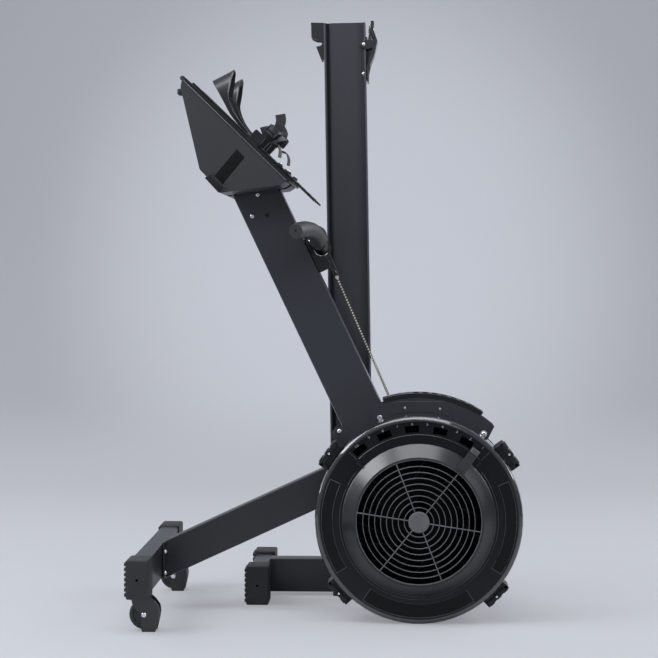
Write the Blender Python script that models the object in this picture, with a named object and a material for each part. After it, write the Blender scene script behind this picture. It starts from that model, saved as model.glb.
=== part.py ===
"""Air rowing machine, stored upright: front section on its nose, seat rail section behind it."""

import math

import bmesh
import bpy
import numpy as np
from mathutils import Matrix, Vector

# Clearances
GAP = 0.0003
RUN_GAP = 0.0004
SLIDE_GAP = 0.0006
WELD = 0.000012

# Fan housing, its axle runs along Y above the origin
DRUM_RADIUS = 0.225
DRUM_SIDES = 64
DRUM_WALL = 0.003
COVER_FACE_Y = -0.160
COVER_SEAM_Y = -0.100
FAR_FACE_Y = 0.047
DIAL_RADIUS = 0.1665
DIAL_SIDES = 48
DIAL_OPENING = 0.1363
DIAL_FRONT_Y = -0.187
SHUTTER_OUTER = 0.209
SHUTTER_START = -32.0
SHUTTER_END = 46.0
WINDOW_RADIUS = 0.1985
WINDOW_SIZE = (0.030, 0.0155)
WINDOW_COUNT = 5
WINDOW_FIRST = 59.0
WINDOW_PITCH = 17.65
SECTOR_INNER = 0.188
SECTOR_OUTER = 0.213
SECTOR_START = 46.8
SECTOR_END = 134.0
SECTOR_DEPTH = 0.0012
INSET_PANELS = ((155.0, 213.0, 0.186), (-33.0, 24.0, 0.186), (235.0, 304.5, 0.180))
INSET_OUTER = 0.211
INSET_DEPTH = 0.0012
LEVER_ANGLE = 51.4
LEVER_REACH = 0.200
LEVER_WIDTH = 0.021
LEVER_THICKNESS = 0.006
HUB_DISC_RADIUS = 0.0229
GRILLE_FIRST_RING = 0.0317
GRILLE_PITCH = 0.01267
GRILLE_RINGS = 8
GRILLE_BAR = 0.0022
GRILLE_DEPTH = 0.005
GRILLE_SPOKES = 6
GRILLE_ARC_STEPS = 3
CLIPS = (
    ("upper_left", 144.2, 0.010, 0.048),
    ("upper_right", 36.4, 0.010, 0.046),
    ("lower_left", 222.9, 0.004, 0.046),
    ("lower_right", 316.6, 0.004, 0.046),
)
CLIP_HEIGHT = 0.017
CLIP_DEPTH = 0.040

# Fan, axle, bearings and drive
FAN_RADIUS = 0.186
FAN_BLADES = 18
FAN_BLADE_INNER = 0.085
FAN_BLADE_THICKNESS = 0.0025
FAN_BLADE_SWEEP = 24.0
FAN_BACK_Y = -0.044
FAN_DISC = 0.006
FAN_FRONT_Y = -0.138
FAN_HUB_RADIUS = 0.030
AXLE_RADIUS = 0.0085
AXLE_FAR_Y = 0.0415
BEARING_RADIUS = 0.0175
BEARING_WIDTH = 0.009
CHAIN_PITCH = 0.00635
CHAIN_PLATE_HEIGHT = 0.0059
CHAIN_WAIST = 0.0042
CHAIN_OUTER_WIDTH = 0.0079
CHAIN_INNER_WIDTH = 0.0056
SPROCKET_TEETH = 20
SPROCKET_WIDTH = 0.0028
SPROCKET_HUB_RADIUS = 0.0145
SPROCKET_HUB_WIDTH = 0.016
GUIDE_ROLLER_RADIUS = 0.012
GUIDE_ROLLER_AT = 0.200
GUIDE_PIN = 0.003

# Main beam and front leg, given by the point where their centre lines meet
JOINT_X = -0.0787
JOINT_Z = 0.3417
BEAM_LEAN = 25.35
BEAM_HEIGHT = 0.102
BEAM_WIDTH = 0.050
BEAM_WALL = 0.0025
BEAM_LENGTH = 0.684
BEAM_TAIL = 0.045
PULLEY_INSET = 0.080
PULLEY_RADIUS = 0.018
PULLEY_PIN = 0.004
CORD_RADIUS = 0.004
CORD_ANCHOR_AT = 0.280
CHAIN_END_AT = 0.050
LEG_SLOPE = 24.8
LEG_HEIGHT = 0.0768
LEG_WIDTH = 0.050
LEG_WALL = 0.0025
LEG_PLATE = 0.0045
LEG_PLATE_WIDTH = 0.104
FRAME_PLATE = 0.004
ARC_RADIUS = 0.257
ARC_START = 113.5
ARC_END = 49.0
PANEL_TOP = 0.2485
PANEL_TOP_X = (-0.0520, 0.0626)
PANEL_LOW_X = (-0.0610, 0.0755)
PANEL_LOW = 0.205
PANEL_RAISE = 0.0025
PANEL_BOLTS = ((-0.0304, 0.2343), (0.0478, 0.2323))
PANEL_BOLT_RECESS = 0.0050
GUARD_THICKNESS = 0.0095
GUARD_START = 107.5
GUARD_END = 57.4
GUARD_WALL = 0.0025
GUARD_MOUTH_WIDTH = 0.014
GUARD_SLOTS = 7

# Front foot bar, its caps and casters
FRONT_FOOT_X = -0.59085
FRONT_FOOT_Z = 0.1163
FRONT_FOOT_LENGTH = 0.610
FOOT_BAR_THICK = 0.040
FOOT_BAR_HEIGHT = 0.075
FOOT_BAR_WALL = 0.0025
CAP_WALLS = (0.0037, 0.0042)
CAP_LENGTH = 0.073
CAP_END_WALL = 0.007
CAP_ROUND = 0.004
CAP_RIB_DEPTH = 0.0035
CAP_RIBS = 7
CAP_HOLE_RADIUS = 0.0028
CASTER_Y = 0.248
CASTER_X = -0.5814
CASTER_Z = 0.0366
CASTER_RADIUS = 0.0326
CASTER_WIDTH = 0.026
CASTER_FORK_WALL = 0.004
CASTER_PIN = 0.004
CASTER_CHEEK = (
    (-0.0285, 0.0), (-0.0235, 0.0180), (-0.0120, 0.0060), (-0.0062, -0.0080), (-0.0060, -0.0300),
)
CASTER_CHEEK_BACK = (
    (0.0262, -0.0290), (0.0310, -0.0080), (0.0328, 0.0040), (0.0308, 0.0180), (0.0220, 0.0300),
)
CASTER_STUB = (-0.0042, 0.0238)
CASTER_TOP = (-0.0285, 0.0135)
CASTER_BASE = 0.003

# Handle, chain run and holder; places are along the beam's upper face and out from it
CHAIN_TOP = (-0.1858, 0.7569)
CHAIN_MOUTH = (-0.0654, 0.4817)
HANDLE_CENTRE = (-0.2172, 0.8139)
HANDLE_HALF = 0.250
HANDLE_RISE = (
    (0.0, 0.0, 0.0), (0.05, 0.018, 0.002), (0.11, 0.036, 0.003), (0.18, 0.046, -0.009),
    (0.25, 0.048, -0.026),
)
HANDLE_CORE_RADIUS = 0.0120
HANDLE_MIDDLE_RADIUS = 0.0163
HANDLE_MIDDLE_HALF = 0.034
GRIP_RADIUS = 0.0178
GRIP_START = 0.042
GRIP_END_WALL = 0.004
GRIP_HOLE = 0.002
HOLDER_SIDE = (
    (0.4388, 0.0), (0.4390, 0.0252), (0.4459, 0.0308), (0.4692, 0.0268), (0.4826, 0.0022), (0.4826, 0.0),
)
HOLDER_WIDTH = 0.060
HOLDER_SLOT = 0.016
HOLDER_FLOOR = 0.0045
SHACKLE_THICK = 0.008
SHACKLE_PLAY = 0.0014

# Footrest; outlines are X and Z from the middle of the beam's upper end
FOOTREST_HALF = 0.165
HOUSING_OUTLINE = (
    (-0.14205, 0.19906), (-0.10105, 0.02196), (-0.08915, 0.01006), (-0.05845, -0.02874),
    (0.07355, -0.01184),
)
HOUSING_WALL = 0.0035
PANEL_RECESS = (
    (-0.02025, 0.06556), (-0.06865, 0.00756), (-0.05135, -0.01144), (-0.00235, 0.04786),
)
PANEL_RECESS_DEPTH = 0.0015
PANEL_BLOCK = (
    (-0.08805, 0.00516), (-0.07725, 0.01266), (-0.04995, -0.01534), (-0.05845, -0.02534),
)
PANEL_BLOCK_PROUD = 0.004
BOARD_LINE_TOP = (-0.13855, 0.21526)
BOARD_LINE_END = (0.08775, -0.00394)
BOARD_THICKNESS = 0.008
BOARD_OVERHANG = 0.004
BOARD_ROUND = 0.0035
FOOT_PLATE_START = 0.020
FOOT_PLATE_LENGTH = 0.3648
FOOT_PLATE_THICKNESS = 0.004
FOOT_PLATE_RIB = 0.0008
FOOT_PLATE_WIDTH = 0.108
FOOT_CENTRE_Y = 0.0965
FOOT_PLATE_RIBS = 12
HEEL_WALL = 0.003
HEEL_BAND = (
    (0.158, 0.0, 0.158, 0.005, 0.0460), (0.105, 0.004, 0.107, 0.0165, 0.0460),
    (0.080, 0.013, 0.086, 0.029, 0.0460), (0.055, 0.021, 0.066, 0.045, 0.0445),
    (0.036, 0.026, 0.051, 0.064, 0.0370), (0.026, 0.029, 0.043, 0.077, 0.0210),
    (0.022, 0.030, 0.040, 0.081, 0.0),
)
STRAP_AT = 0.203
STRAP_LEAN = 0.015
STRAP_WIDTH = 0.026
STRAP_THICKNESS = 0.0024
STRAP_ARCH = ((0.0610, 0.0), (0.0600, 0.0100), (0.0530, 0.0195), (0.0380, 0.0255), (0.0, 0.0290))
STRAP_BLOCK = (0.028, 0.012, 0.027)
BUCKLE_SIZE = (0.024, 0.030, 0.011)

# Rail section behind the front section
RAIL_Y = 0.205
RAIL_LEAN = 0.95
RAIL_FOOT_X = -0.1981
RAIL_HEIGHT = 1.3405
RAIL_DEPTH = 0.0970
RAIL_WIDTH = 0.0550
RAIL_WALL = 0.0035
RAIL_NECK = 0.0225
RAIL_GROOVE = 0.0185
RAIL_STEPS = (0.006, 0.015, 0.0925)
RAIL_HOLLOW = 0.0155
RAIL_CAP = 0.012
RAIL_CAP_PLUG = 0.020
REAR_FOOT_X = -0.36695
REAR_FOOT_Z = 0.0443
REAR_FOOT_LENGTH = 0.304
REAR_CAP_WALLS = (0.00585, 0.0068)
REAR_LEG_HEIGHT = 0.078
REAR_LEG_WIDTH = 0.050
# Hook and lock lever; outlines are X and Z from the top of the rail's left face
HOOK_WIDTH = 0.046
HOOK_PLATE = 0.004
HOOK_OUTLINE = (
    (-0.02977, 0.00208), (-0.02877, -0.03312), (-0.01797, -0.03832), (-0.01797, -0.05422),
    (-0.00557, -0.08472),
)
HOOK_NOTCH = ((-0.01067, -0.04572), 0.0068)
HOOK_MOUTH = (
    (-0.03967, -0.03832), (-0.01067, -0.03892), (-0.01067, -0.05252), (-0.01797, -0.05422),
    (-0.03967, -0.05422),
)
LOCK_PIVOT = (0.09343, -0.05022)
LOCK_BOW = (
    (0.11693, 0.00448), (0.11623, -0.01662), (0.12513, -0.04132), (0.11763, -0.07532),
    (0.10533, -0.10582), (0.10533, -0.13632), (0.10083, -0.13632), (0.10083, -0.10232),
    (0.11133, -0.07332), (0.11833, -0.04232), (0.10983, -0.01932), (0.10933, 0.00448),
)
LOCK_EAR = (
    (0.10233, -0.06132), (0.12033, -0.05532), (0.12133, -0.04032), (0.10233, -0.03932),
)
LOCK_WALL = 0.003
LOCK_EAR_RADIUS = 0.0085
# Seat, its carriage and rollers
SEAT_BOTTOM = 0.078
SEAT_LENGTH = 0.235
SEAT_WIDTH = 0.296
SEAT_PAD_THICKNESS = 0.036
SEAT_PAD_LAYERS = (
    (0.0, 0.90), (0.085, 0.955), (0.335, 0.990), (0.61, 1.0), (0.835, 0.975), (0.96, 0.925),
    (1.0, 0.86), (0.97, 0.70), (0.86, 0.48), (0.79, 0.25), (0.765, 0.08),
)
SEAT_NOTCH = 0.022
SEAT_NOTCH_HALF = 0.055
SEAT_STAND = 0.046
CARRIAGE_LENGTH = 0.200
CARRIAGE_WALL = 0.0035
CARRIAGE_HALF = 0.0375
CARRIAGE_DROP = 0.012
CARRIAGE_LIP = 0.004
ROLLER_RADIUS = 0.0165
ROLLER_HALF = 0.024
ROLLER_PIN = 0.004
ROLLER_SPAN = 0.150

# Worked out from the sizes above
AXLE_Z = DRUM_RADIUS
AXLE = (0.0, AXLE_Z)
PULLEY_AT = BEAM_LENGTH - PULLEY_INSET
HALF_BEAM = BEAM_WIDTH / 2
PLATE_INNER_Y = HALF_BEAM + GAP
PLATE_OUTER_Y = PLATE_INNER_Y + FRAME_PLATE


def clear_scene():
    for thing in list(bpy.data.objects):
        bpy.data.objects.remove(thing, do_unlink=True)


def finish(name, colour, roughness, metallic=0.0):
    made = bpy.data.materials.new(name)
    made.use_nodes = True
    shader = made.node_tree.nodes["Principled BSDF"]
    shader.inputs["Base Color"].default_value = (*colour, 1.0)
    shader.inputs["Roughness"].default_value = roughness
    shader.inputs["Metallic"].default_value = metallic
    made.diffuse_color = (*colour, 1.0)
    return made


def node(name, mesh, material, smooth=None):
    """Puts a mesh in the scene as one named piece."""
    thing = bpy.data.objects.new(name, mesh)
    bpy.context.scene.collection.objects.link(thing)
    if material:
        mesh.materials.append(material)
    if smooth:
        mesh.shade_smooth()
        mesh.set_sharp_from_angle(angle=math.radians(smooth))
    return thing


def mesh_of(shape, name="shape"):
    """Ends a bmesh: welds nothing, turns its faces outwards and returns the mesh."""
    bmesh.ops.recalc_face_normals(shape, faces=shape.faces)
    mesh = bpy.data.meshes.new(name)
    shape.to_mesh(mesh)
    shape.free()
    return mesh


def rounded(shape, edges, size, segments):
    bmesh.ops.bevel(shape, geom=edges, offset=size, segments=segments, affect="EDGES", profile=0.5)


def prism(outline, y_low, y_high, bevel=0.0, segments=2):
    """Extrudes an X and Z outline along Y; bevel rounds its upright corners."""
    shape = bmesh.new()
    ring = [shape.verts.new((x, y_low, z)) for x, z in outline]
    face = shape.faces.new(ring)
    moved = bmesh.ops.extrude_face_region(shape, geom=[face])
    raised = [item for item in moved["geom"] if isinstance(item, bmesh.types.BMVert)]
    bmesh.ops.translate(shape, verts=raised, vec=(0, y_high - y_low, 0))
    if bevel:
        upright = [e for e in shape.edges if abs(e.verts[0].co.y - e.verts[1].co.y) > 1e-6]
        rounded(shape, upright, bevel, segments)
    return mesh_of(shape)


def box(low, high, bevel=0.0, segments=2):
    """A block between two corners, with all its edges rounded by bevel."""
    shape = bmesh.new()
    bmesh.ops.create_cube(shape, size=1.0)
    size = [high[i] - low[i] for i in range(3)]
    middle = [(high[i] + low[i]) / 2 for i in range(3)]
    bmesh.ops.scale(shape, verts=shape.verts, vec=size)
    bmesh.ops.translate(shape, verts=shape.verts, vec=middle)
    if bevel:
        rounded(shape, shape.edges[:], bevel, segments)
    return mesh_of(shape)


def turned(profile, centre, sides, start=0.0):
    """Revolves a closed profile of (radius, y) points round an axis along Y through centre (x, z)."""
    shape = bmesh.new()
    rings = []
    for radius, y in profile:
        if radius == 0:
            rings.append([shape.verts.new((centre[0], y, centre[1]))])
            continue
        ring = []
        for k in range(sides):
            angle = math.tau * (k + start) / sides
            x, z = centre[0] + radius * math.cos(angle), centre[1] + radius * math.sin(angle)
            ring.append(shape.verts.new((x, y, z)))
        rings.append(ring)
    for first, second in zip(rings, rings[1:] + rings[:1]):
        if len(first) == 1 and len(second) == 1:
            continue
        for k in range(sides):
            n = (k + 1) % sides
            corners = [first[k % len(first)], second[k % len(second)]]
            corners += [second[n % len(second)], first[n % len(first)]]
            shape.faces.new(list(dict.fromkeys(corners)))
    return mesh_of(shape)


def disc_profile(radius, y_low, y_high, bore=0.0, chamfer=0.0):
    """The closed profile of a plain disc or ring, with chamfered outer edges."""
    outer = [(radius, y_low), (radius, y_high)]
    if chamfer:
        outer = [
            (radius - chamfer, y_low), (radius, y_low + chamfer),
            (radius, y_high - chamfer), (radius - chamfer, y_high),
        ]
    return [(bore, y_low)] + outer + [(bore, y_high)]


def swept(rings, closed_ends=True, loop=False):
    """Skins a list of rings, each a list of points, into one closed solid."""
    shape = bmesh.new()
    made = [[shape.verts.new(p) for p in ring] for ring in rings]
    count = len(made[0])
    pairs = list(zip(made, made[1:]))
    if loop:
        pairs.append((made[-1], made[0]))
    for first, second in pairs:
        for k in range(count):
            n = (k + 1) % count
            shape.faces.new((first[k], first[n], second[n], second[k]))
    if closed_ends and not loop:
        shape.faces.new(made[0])
        shape.faces.new(made[-1])
    return mesh_of(shape)


def helper(mesh, name="cutter"):
    """A cutter or an added shape, which isn't a piece of its own."""
    thing = node(name, mesh, None)
    thing.hide_render = True
    thing.display_type = "WIRE"
    return thing


def combine(piece, mesh, operation):
    """Cuts a mesh from a piece, or joins it on, and keeps the result as the piece's own mesh."""
    other = helper(mesh)
    step = piece.modifiers.new("shape", "BOOLEAN")
    step.operation = operation
    step.solver = "EXACT"
    step.object = other
    graph = bpy.context.evaluated_depsgraph_get()
    graph.update()
    result = bpy.data.meshes.new_from_object(piece.evaluated_get(graph))
    piece.modifiers.remove(step)
    shape = bmesh.new()
    shape.from_mesh(result)
    bmesh.ops.remove_doubles(shape, verts=shape.verts, dist=WELD)
    bmesh.ops.dissolve_degenerate(shape, edges=shape.edges, dist=WELD)
    shape.to_mesh(result)
    shape.free()
    piece.data = result
    bpy.data.objects.remove(other, do_unlink=True)


def cut(piece, *meshes):
    for mesh in meshes:
        combine(piece, mesh, "DIFFERENCE")


def join(piece, *meshes):
    for mesh in meshes:
        combine(piece, mesh, "UNION")


def merged(meshes):
    """Several closed shapes that don't touch, as one mesh for a Boolean."""
    shape = bmesh.new()
    for mesh in meshes:
        shape.from_mesh(mesh)
    made = bpy.data.meshes.new("merged")
    shape.to_mesh(made)
    shape.free()
    return made


def smooth_shade(piece, degrees=35):
    piece.data.shade_smooth()
    piece.data.set_sharp_from_angle(angle=math.radians(degrees))


def arc_points(radius, start, end, steps, centre):
    """Points along an arc given in degrees, in X and Z."""
    angles = [math.radians(start + (end - start) * k / steps) for k in range(steps + 1)]
    return [(centre[0] + radius * math.cos(a), centre[1] + radius * math.sin(a)) for a in angles]


def sector(inner, outer, start, end, steps, centre=(0.0, AXLE_Z)):
    return arc_points(outer, start, end, steps, centre) + arc_points(inner, end, start, steps, centre)


def along(origin, direction, distance, side=0.0):
    """A point some distance along a direction in X and Z, and side to its right."""
    return (
        origin[0] + direction[0] * distance + direction[1] * side,
        origin[1] + direction[1] * distance - direction[0] * side,
    )


def inset(outline, distance):
    """Moves the sides of a convex outline inwards."""
    points = [Vector(p) for p in outline]
    area = sum(a.x * b.y - b.x * a.y for a, b in zip(points, points[1:] + points[:1]))
    turn = 1 if area > 0 else -1
    lines = []
    for a, b in zip(points, points[1:] + points[:1]):
        d = (b - a).normalized()
        normal = Vector((-d.y, d.x)) * turn
        lines.append((a + normal * distance, d))
    corners = []
    for (p, d), (q, e) in zip(lines[-1:] + lines[:-1], lines):
        t = ((q - p).x * e.y - (q - p).y * e.x) / (d.x * e.y - d.y * e.x)
        corners.append(tuple(p + d * t))
    return corners


BEAM_UP = (-math.sin(math.radians(BEAM_LEAN)), math.cos(math.radians(BEAM_LEAN)))
BEAM_OUT = (BEAM_UP[1], -BEAM_UP[0])
LEG_OUT = (-math.cos(math.radians(LEG_SLOPE)), -math.sin(math.radians(LEG_SLOPE)))
JOINT = (JOINT_X, JOINT_Z)
CHAIN_SPAN = math.dist(CHAIN_TOP, CHAIN_MOUTH)
CHAIN_DOWN = tuple((b - a) / CHAIN_SPAN for a, b in zip(CHAIN_TOP, CHAIN_MOUTH))
PULL = (-CHAIN_DOWN[0], -CHAIN_DOWN[1])
RAIL_UP = (-math.sin(math.radians(RAIL_LEAN)), math.cos(math.radians(RAIL_LEAN)))
RAIL_FOOT = (RAIL_FOOT_X, 0.0)
SPROCKET_RADIUS = CHAIN_PITCH / (2 * math.sin(math.pi / SPROCKET_TEETH))
BOARD_RUN = (Vector(BOARD_LINE_END) - Vector(BOARD_LINE_TOP)).normalized()
BOARD_OUT = Vector((-BOARD_RUN.y, BOARD_RUN.x))


def beam_point(distance, out=0.0):
    """A place along the beam from the joint, out from its centre line towards the handle side."""
    return along(JOINT, BEAM_UP, distance, out)


def from_beam_end(point):
    """A footrest point, which is given from the middle of the beam's upper end."""
    end = beam_point(BEAM_LENGTH)
    return (end[0] + point[0], end[1] + point[1])


def board_point(run, out):
    """A place along the footboard from its heel end, and out from its underside."""
    p = Vector(from_beam_end(BOARD_LINE_TOP)) + BOARD_RUN * run + BOARD_OUT * out
    return (p.x, p.y)


def rail_point(height, side):
    """A place on the rail: height along it from the floor, side from its left face to its right."""
    return along(RAIL_FOOT, RAIL_UP, height, side)


def from_rail_top(point):
    """A point of the hook or the lever, which is given from the top of the rail's left face."""
    top = rail_point(RAIL_HEIGHT, 0.0)
    return (top[0] + point[0], top[1] + point[1])


def rounded_rectangle(width, height, corner, steps=2):
    """Points of a rounded rectangle about its centre."""
    points = []
    for index, (sx, sz) in enumerate(((1, 1), (-1, 1), (-1, -1), (1, -1))):
        cx = sx * (width / 2 - corner)
        cz = sz * (height / 2 - corner)
        for k in range(steps + 1):
            angle = math.pi / 2 * (index + k / steps)
            points.append((cx + corner * math.cos(angle), cz + corner * math.sin(angle)))
    return points


def hollow_bar(place, size, wall, corner, start, end, slants=(0.0, 0.0)):
    """An open-ended tube; place turns a distance and two cross-section values into a point."""
    rings = []
    ends = (start, end)
    for inward, order in ((0.0, (0, 1)), (wall, (1, 0))):
        outline = rounded_rectangle(size[0] - 2 * inward, size[1] - 2 * inward, max(corner - inward, 0.001))
        for index in order:
            rings.append([place(ends[index] + slants[index] * a, a, b) for a, b in outline])
    return swept(rings, loop=True)


def on_beam(distance, a, b):
    x, z = beam_point(distance, a)
    return (x, b, z)


def on_leg(distance, a, b):
    x, z = along(JOINT, LEG_OUT, distance, a)
    return (x, b, z)


def pin(radius, centre, y_low, y_high, sides=20):
    return turned(disc_profile(radius, y_low, y_high), centre, sides)


def make_main_beam(paint):
    tube = hollow_bar(on_beam, (BEAM_HEIGHT, BEAM_WIDTH), BEAM_WALL, 0.004, -BEAM_TAIL, BEAM_LENGTH)
    beam = node("main_beam", tube, paint)
    cut(beam, pin(PULLEY_PIN + GAP, beam_point(PULLEY_AT), -BEAM_WIDTH, BEAM_WIDTH))
    anchor = beam_point(CORD_ANCHOR_AT, PULLEY_RADIUS)
    join(beam, pin(PULLEY_PIN, anchor, -HALF_BEAM + 0.001, HALF_BEAM - 0.001, 12))
    return beam


def leg_end_x():
    return FRONT_FOOT_X + FOOT_BAR_THICK / 2 + GAP + LEG_PLATE


def make_front_leg(paint):
    skew = math.radians(BEAM_LEAN - LEG_SLOPE)
    start = (BEAM_HEIGHT / 2 + GAP) / math.cos(skew)
    end = (JOINT_X - leg_end_x()) / -LEG_OUT[0]
    slants = (math.tan(skew), -math.tan(math.radians(LEG_SLOPE)))
    tube = hollow_bar(on_leg, (LEG_HEIGHT, LEG_WIDTH), LEG_WALL, 0.004, start, end, slants)
    leg = node("front_leg", tube, paint)
    middle = JOINT_Z + end * LEG_OUT[1]
    half = LEG_HEIGHT / 2 / -LEG_OUT[0]
    low = (leg_end_x() - LEG_PLATE, -LEG_PLATE_WIDTH / 2, middle - half)
    high = (leg_end_x() + 0.0005, LEG_PLATE_WIDTH / 2, middle + half)
    join(leg, box(low, high, 0.0015, 1))
    return leg


def make_foot(prefix, centre_x, centre_z, centre_y, length, walls, paint, rubber):
    """A foot bar along Y with a ribbed rubber cap on each end; the ribs are the sole in use."""

    def place(distance, a, b):
        return (centre_x + a, centre_y + distance, centre_z + b)

    half = length / 2
    bar_half = half - CAP_END_WALL - GAP
    size = (FOOT_BAR_THICK, FOOT_BAR_HEIGHT)
    node(prefix + "_bar", hollow_bar(place, size, FOOT_BAR_WALL, 0.003, -bar_half, bar_half), paint)
    half_x = FOOT_BAR_THICK / 2 + walls[0]
    half_z = FOOT_BAR_HEIGHT / 2 + walls[1]
    for side, word in ((-1, "near"), (1, "far")):
        outer_y = centre_y + side * half
        inner_y = outer_y - side * CAP_LENGTH
        low_y, high_y = sorted((outer_y, inner_y))
        low = (centre_x - half_x, low_y, centre_z - half_z)
        high = (centre_x + half_x, high_y, centre_z + half_z)
        cap = node(f"{prefix}_cap_{word}", box(low, high, CAP_ROUND), rubber)
        pitch = (2 * half_z - 2 * CAP_ROUND) / CAP_RIBS
        ribs = []
        for k in range(CAP_RIBS):
            z = centre_z - half_z + CAP_ROUND + pitch * (k + 0.5)
            rib_low = (low[0] - CAP_RIB_DEPTH, low_y + CAP_ROUND, z - 0.3 * pitch)
            rib_high = (low[0] + 0.001, high_y - CAP_ROUND, z + 0.3 * pitch)
            ribs.append(box(rib_low, rib_high))
        join(cap, merged(ribs))
        pocket_y = sorted((outer_y - side * CAP_END_WALL, inner_y - side * 0.01))
        pocket_low = (centre_x - FOOT_BAR_THICK / 2 - GAP, pocket_y[0], centre_z - FOOT_BAR_HEIGHT / 2 - GAP)
        pocket_high = (centre_x + FOOT_BAR_THICK / 2 + GAP, pocket_y[1], centre_z + FOOT_BAR_HEIGHT / 2 + GAP)
        cut(cap, box(pocket_low, pocket_high))
        hole_y = sorted((outer_y + side * 0.001, outer_y - side * (CAP_END_WALL + 0.001)))
        cut(cap, pin(CAP_HOLE_RADIUS, (centre_x, centre_z), *hole_y, 12))


def make_caster(word, side, paint, rubber):
    """A fork with two cheeks, each ending in a stub foot, and the wheel on its pin."""
    top = FRONT_FOOT_Z - FOOT_BAR_HEIGHT / 2 - CAP_WALLS[1] - GAP
    centre = (CASTER_X, CASTER_Z)
    y = side * CASTER_Y
    outline = [(CASTER_X + CASTER_TOP[0], top)]
    outline += [(CASTER_X + x, CASTER_Z + z) for x, z in CASTER_CHEEK[1:]]
    outline += [(CASTER_X + CASTER_STUB[0], 0.0), (CASTER_X + CASTER_STUB[1], 0.0)]
    outline += [(CASTER_X + x, CASTER_Z + z) for x, z in CASTER_CHEEK_BACK]
    outline += [(CASTER_X + CASTER_TOP[1], top)]
    inner = CASTER_WIDTH / 2 + SLIDE_GAP
    outer = inner + CASTER_FORK_WALL
    fork = node(f"caster_fork_{word}", prism(outline, y - outer, y - inner), paint)
    base_low = (CASTER_X + CASTER_TOP[0], y - outer, top - CASTER_BASE)
    base_high = (CASTER_X + CASTER_TOP[1], y + outer, top)
    join(fork, prism(outline, y + inner, y + outer), box(base_low, base_high))
    join(fork, pin(CASTER_PIN, centre, y - inner - 0.001, y + inner + 0.001, 16))
    half = CASTER_WIDTH / 2
    bore = CASTER_PIN + GAP
    profile = [
        (bore, -half), (0.0130, -half), (0.0150, -half + 0.002), (CASTER_RADIUS - 0.0095, -half + 0.002),
        (CASTER_RADIUS - 0.0085, -half), (CASTER_RADIUS - 0.0035, -half), (CASTER_RADIUS, -half + 0.004),
        (CASTER_RADIUS, half - 0.004), (CASTER_RADIUS - 0.0035, half), (bore, half),
    ]
    wheel = turned([(r, y + v) for r, v in profile], centre, 24)
    node(f"caster_wheel_{word}", wheel, rubber, smooth=30)


def polar(radius, degrees, centre=AXLE):
    angle = math.radians(degrees)
    return (centre[0] + radius * math.cos(angle), centre[1] + radius * math.sin(angle))


def guide_roller_centre():
    """The roller that turns the chain from its pulled line towards the sprocket."""
    return along(CHAIN_MOUTH, CHAIN_DOWN, GUIDE_ROLLER_AT, GUIDE_ROLLER_RADIUS)


def make_frame_plate(word, side, paint):
    """A side plate that joins beam and leg, carries an axle bearing and rises to the arc over the fan."""
    rim = DRUM_RADIUS - 0.003
    outline = arc_points(ARC_RADIUS, ARC_END, ARC_START, 14, AXLE)
    outline += [polar(rim, 118), polar(rim, 129), polar(0.256, 131), polar(0.265, 134.5), polar(0.259, 138.5)]
    outline += [polar(rim, 142), along(JOINT, LEG_OUT, 0.120, 0.030), along(JOINT, LEG_OUT, 0.120, -0.030)]
    outline += arc_points(0.048, 205, 385, 12, AXLE)
    outline += [polar(0.110, 44), polar(rim, 46.7)]
    low, high = sorted((side * PLATE_INNER_Y, side * PLATE_OUTER_Y))
    plate = node(f"frame_plate_{word}", prism(outline, low, high), paint)
    if side < 0:
        corners = [
            (PANEL_LOW_X[0], AXLE_Z + PANEL_LOW), (PANEL_LOW_X[1], AXLE_Z + PANEL_LOW),
            (PANEL_TOP_X[1], AXLE_Z + PANEL_TOP), (PANEL_TOP_X[0], AXLE_Z + PANEL_TOP),
        ]
        panel = helper(prism(corners, low - PANEL_RAISE, low + 0.001, 0.007))
        cut(panel, pin(DRUM_RADIUS + GAP, AXLE, low - 0.01, low + 0.0005, DRUM_SIDES * 2))
        for x, up in PANEL_BOLTS:
            cut(panel, pin(PANEL_BOLT_RECESS, (x, AXLE_Z + up), low - 0.01, low - 0.0003, 16))
        join(plate, panel.data.copy())
        bpy.data.objects.remove(panel, do_unlink=True)
    cut(plate, pin(BEARING_RADIUS + GAP, AXLE, low - 0.01, high + 0.01, 32))
    cut(plate, pin(GUIDE_PIN + GAP, guide_roller_centre(), low - 0.01, high + 0.01, 16))
    return plate


def make_chain_guard(plastic):
    """The curved cap over the two arcs, open below, with a mouth for the chain and a row of slots."""
    inner = ARC_RADIUS + GAP
    outer = inner + GUARD_THICKNESS
    skin = outer - GUARD_WALL
    half = PLATE_OUTER_Y + 0.001
    guard = node("chain_guard", prism(sector(inner, outer, GUARD_START, GUARD_END, 12), -half, half), plastic)
    pocket = sector(inner - 0.002, skin, GUARD_START + 2.0, GUARD_END + 1.0, 12)
    cut(guard, prism(pocket, -half + GUARD_WALL, half - GUARD_WALL))
    mouth = sector(inner - 0.002, outer + 0.002, GUARD_START + 2.0, GUARD_START - 9.0, 3)
    cutters = [prism(mouth, -GUARD_MOUTH_WIDTH / 2, GUARD_MOUTH_WIDTH / 2)]
    first = GUARD_START - 14.0
    pitch = (first - GUARD_END - 4.0) / GUARD_SLOTS
    for k in range(GUARD_SLOTS):
        middle = first - pitch * (k + 0.5)
        slot = sector(skin - 0.002, outer + 0.002, middle + 0.3 * pitch, middle - 0.3 * pitch, 1)
        cutters.append(prism(slot, -half * 0.55, half * 0.55))
    cut(guard, merged(cutters))
    return guard


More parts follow.
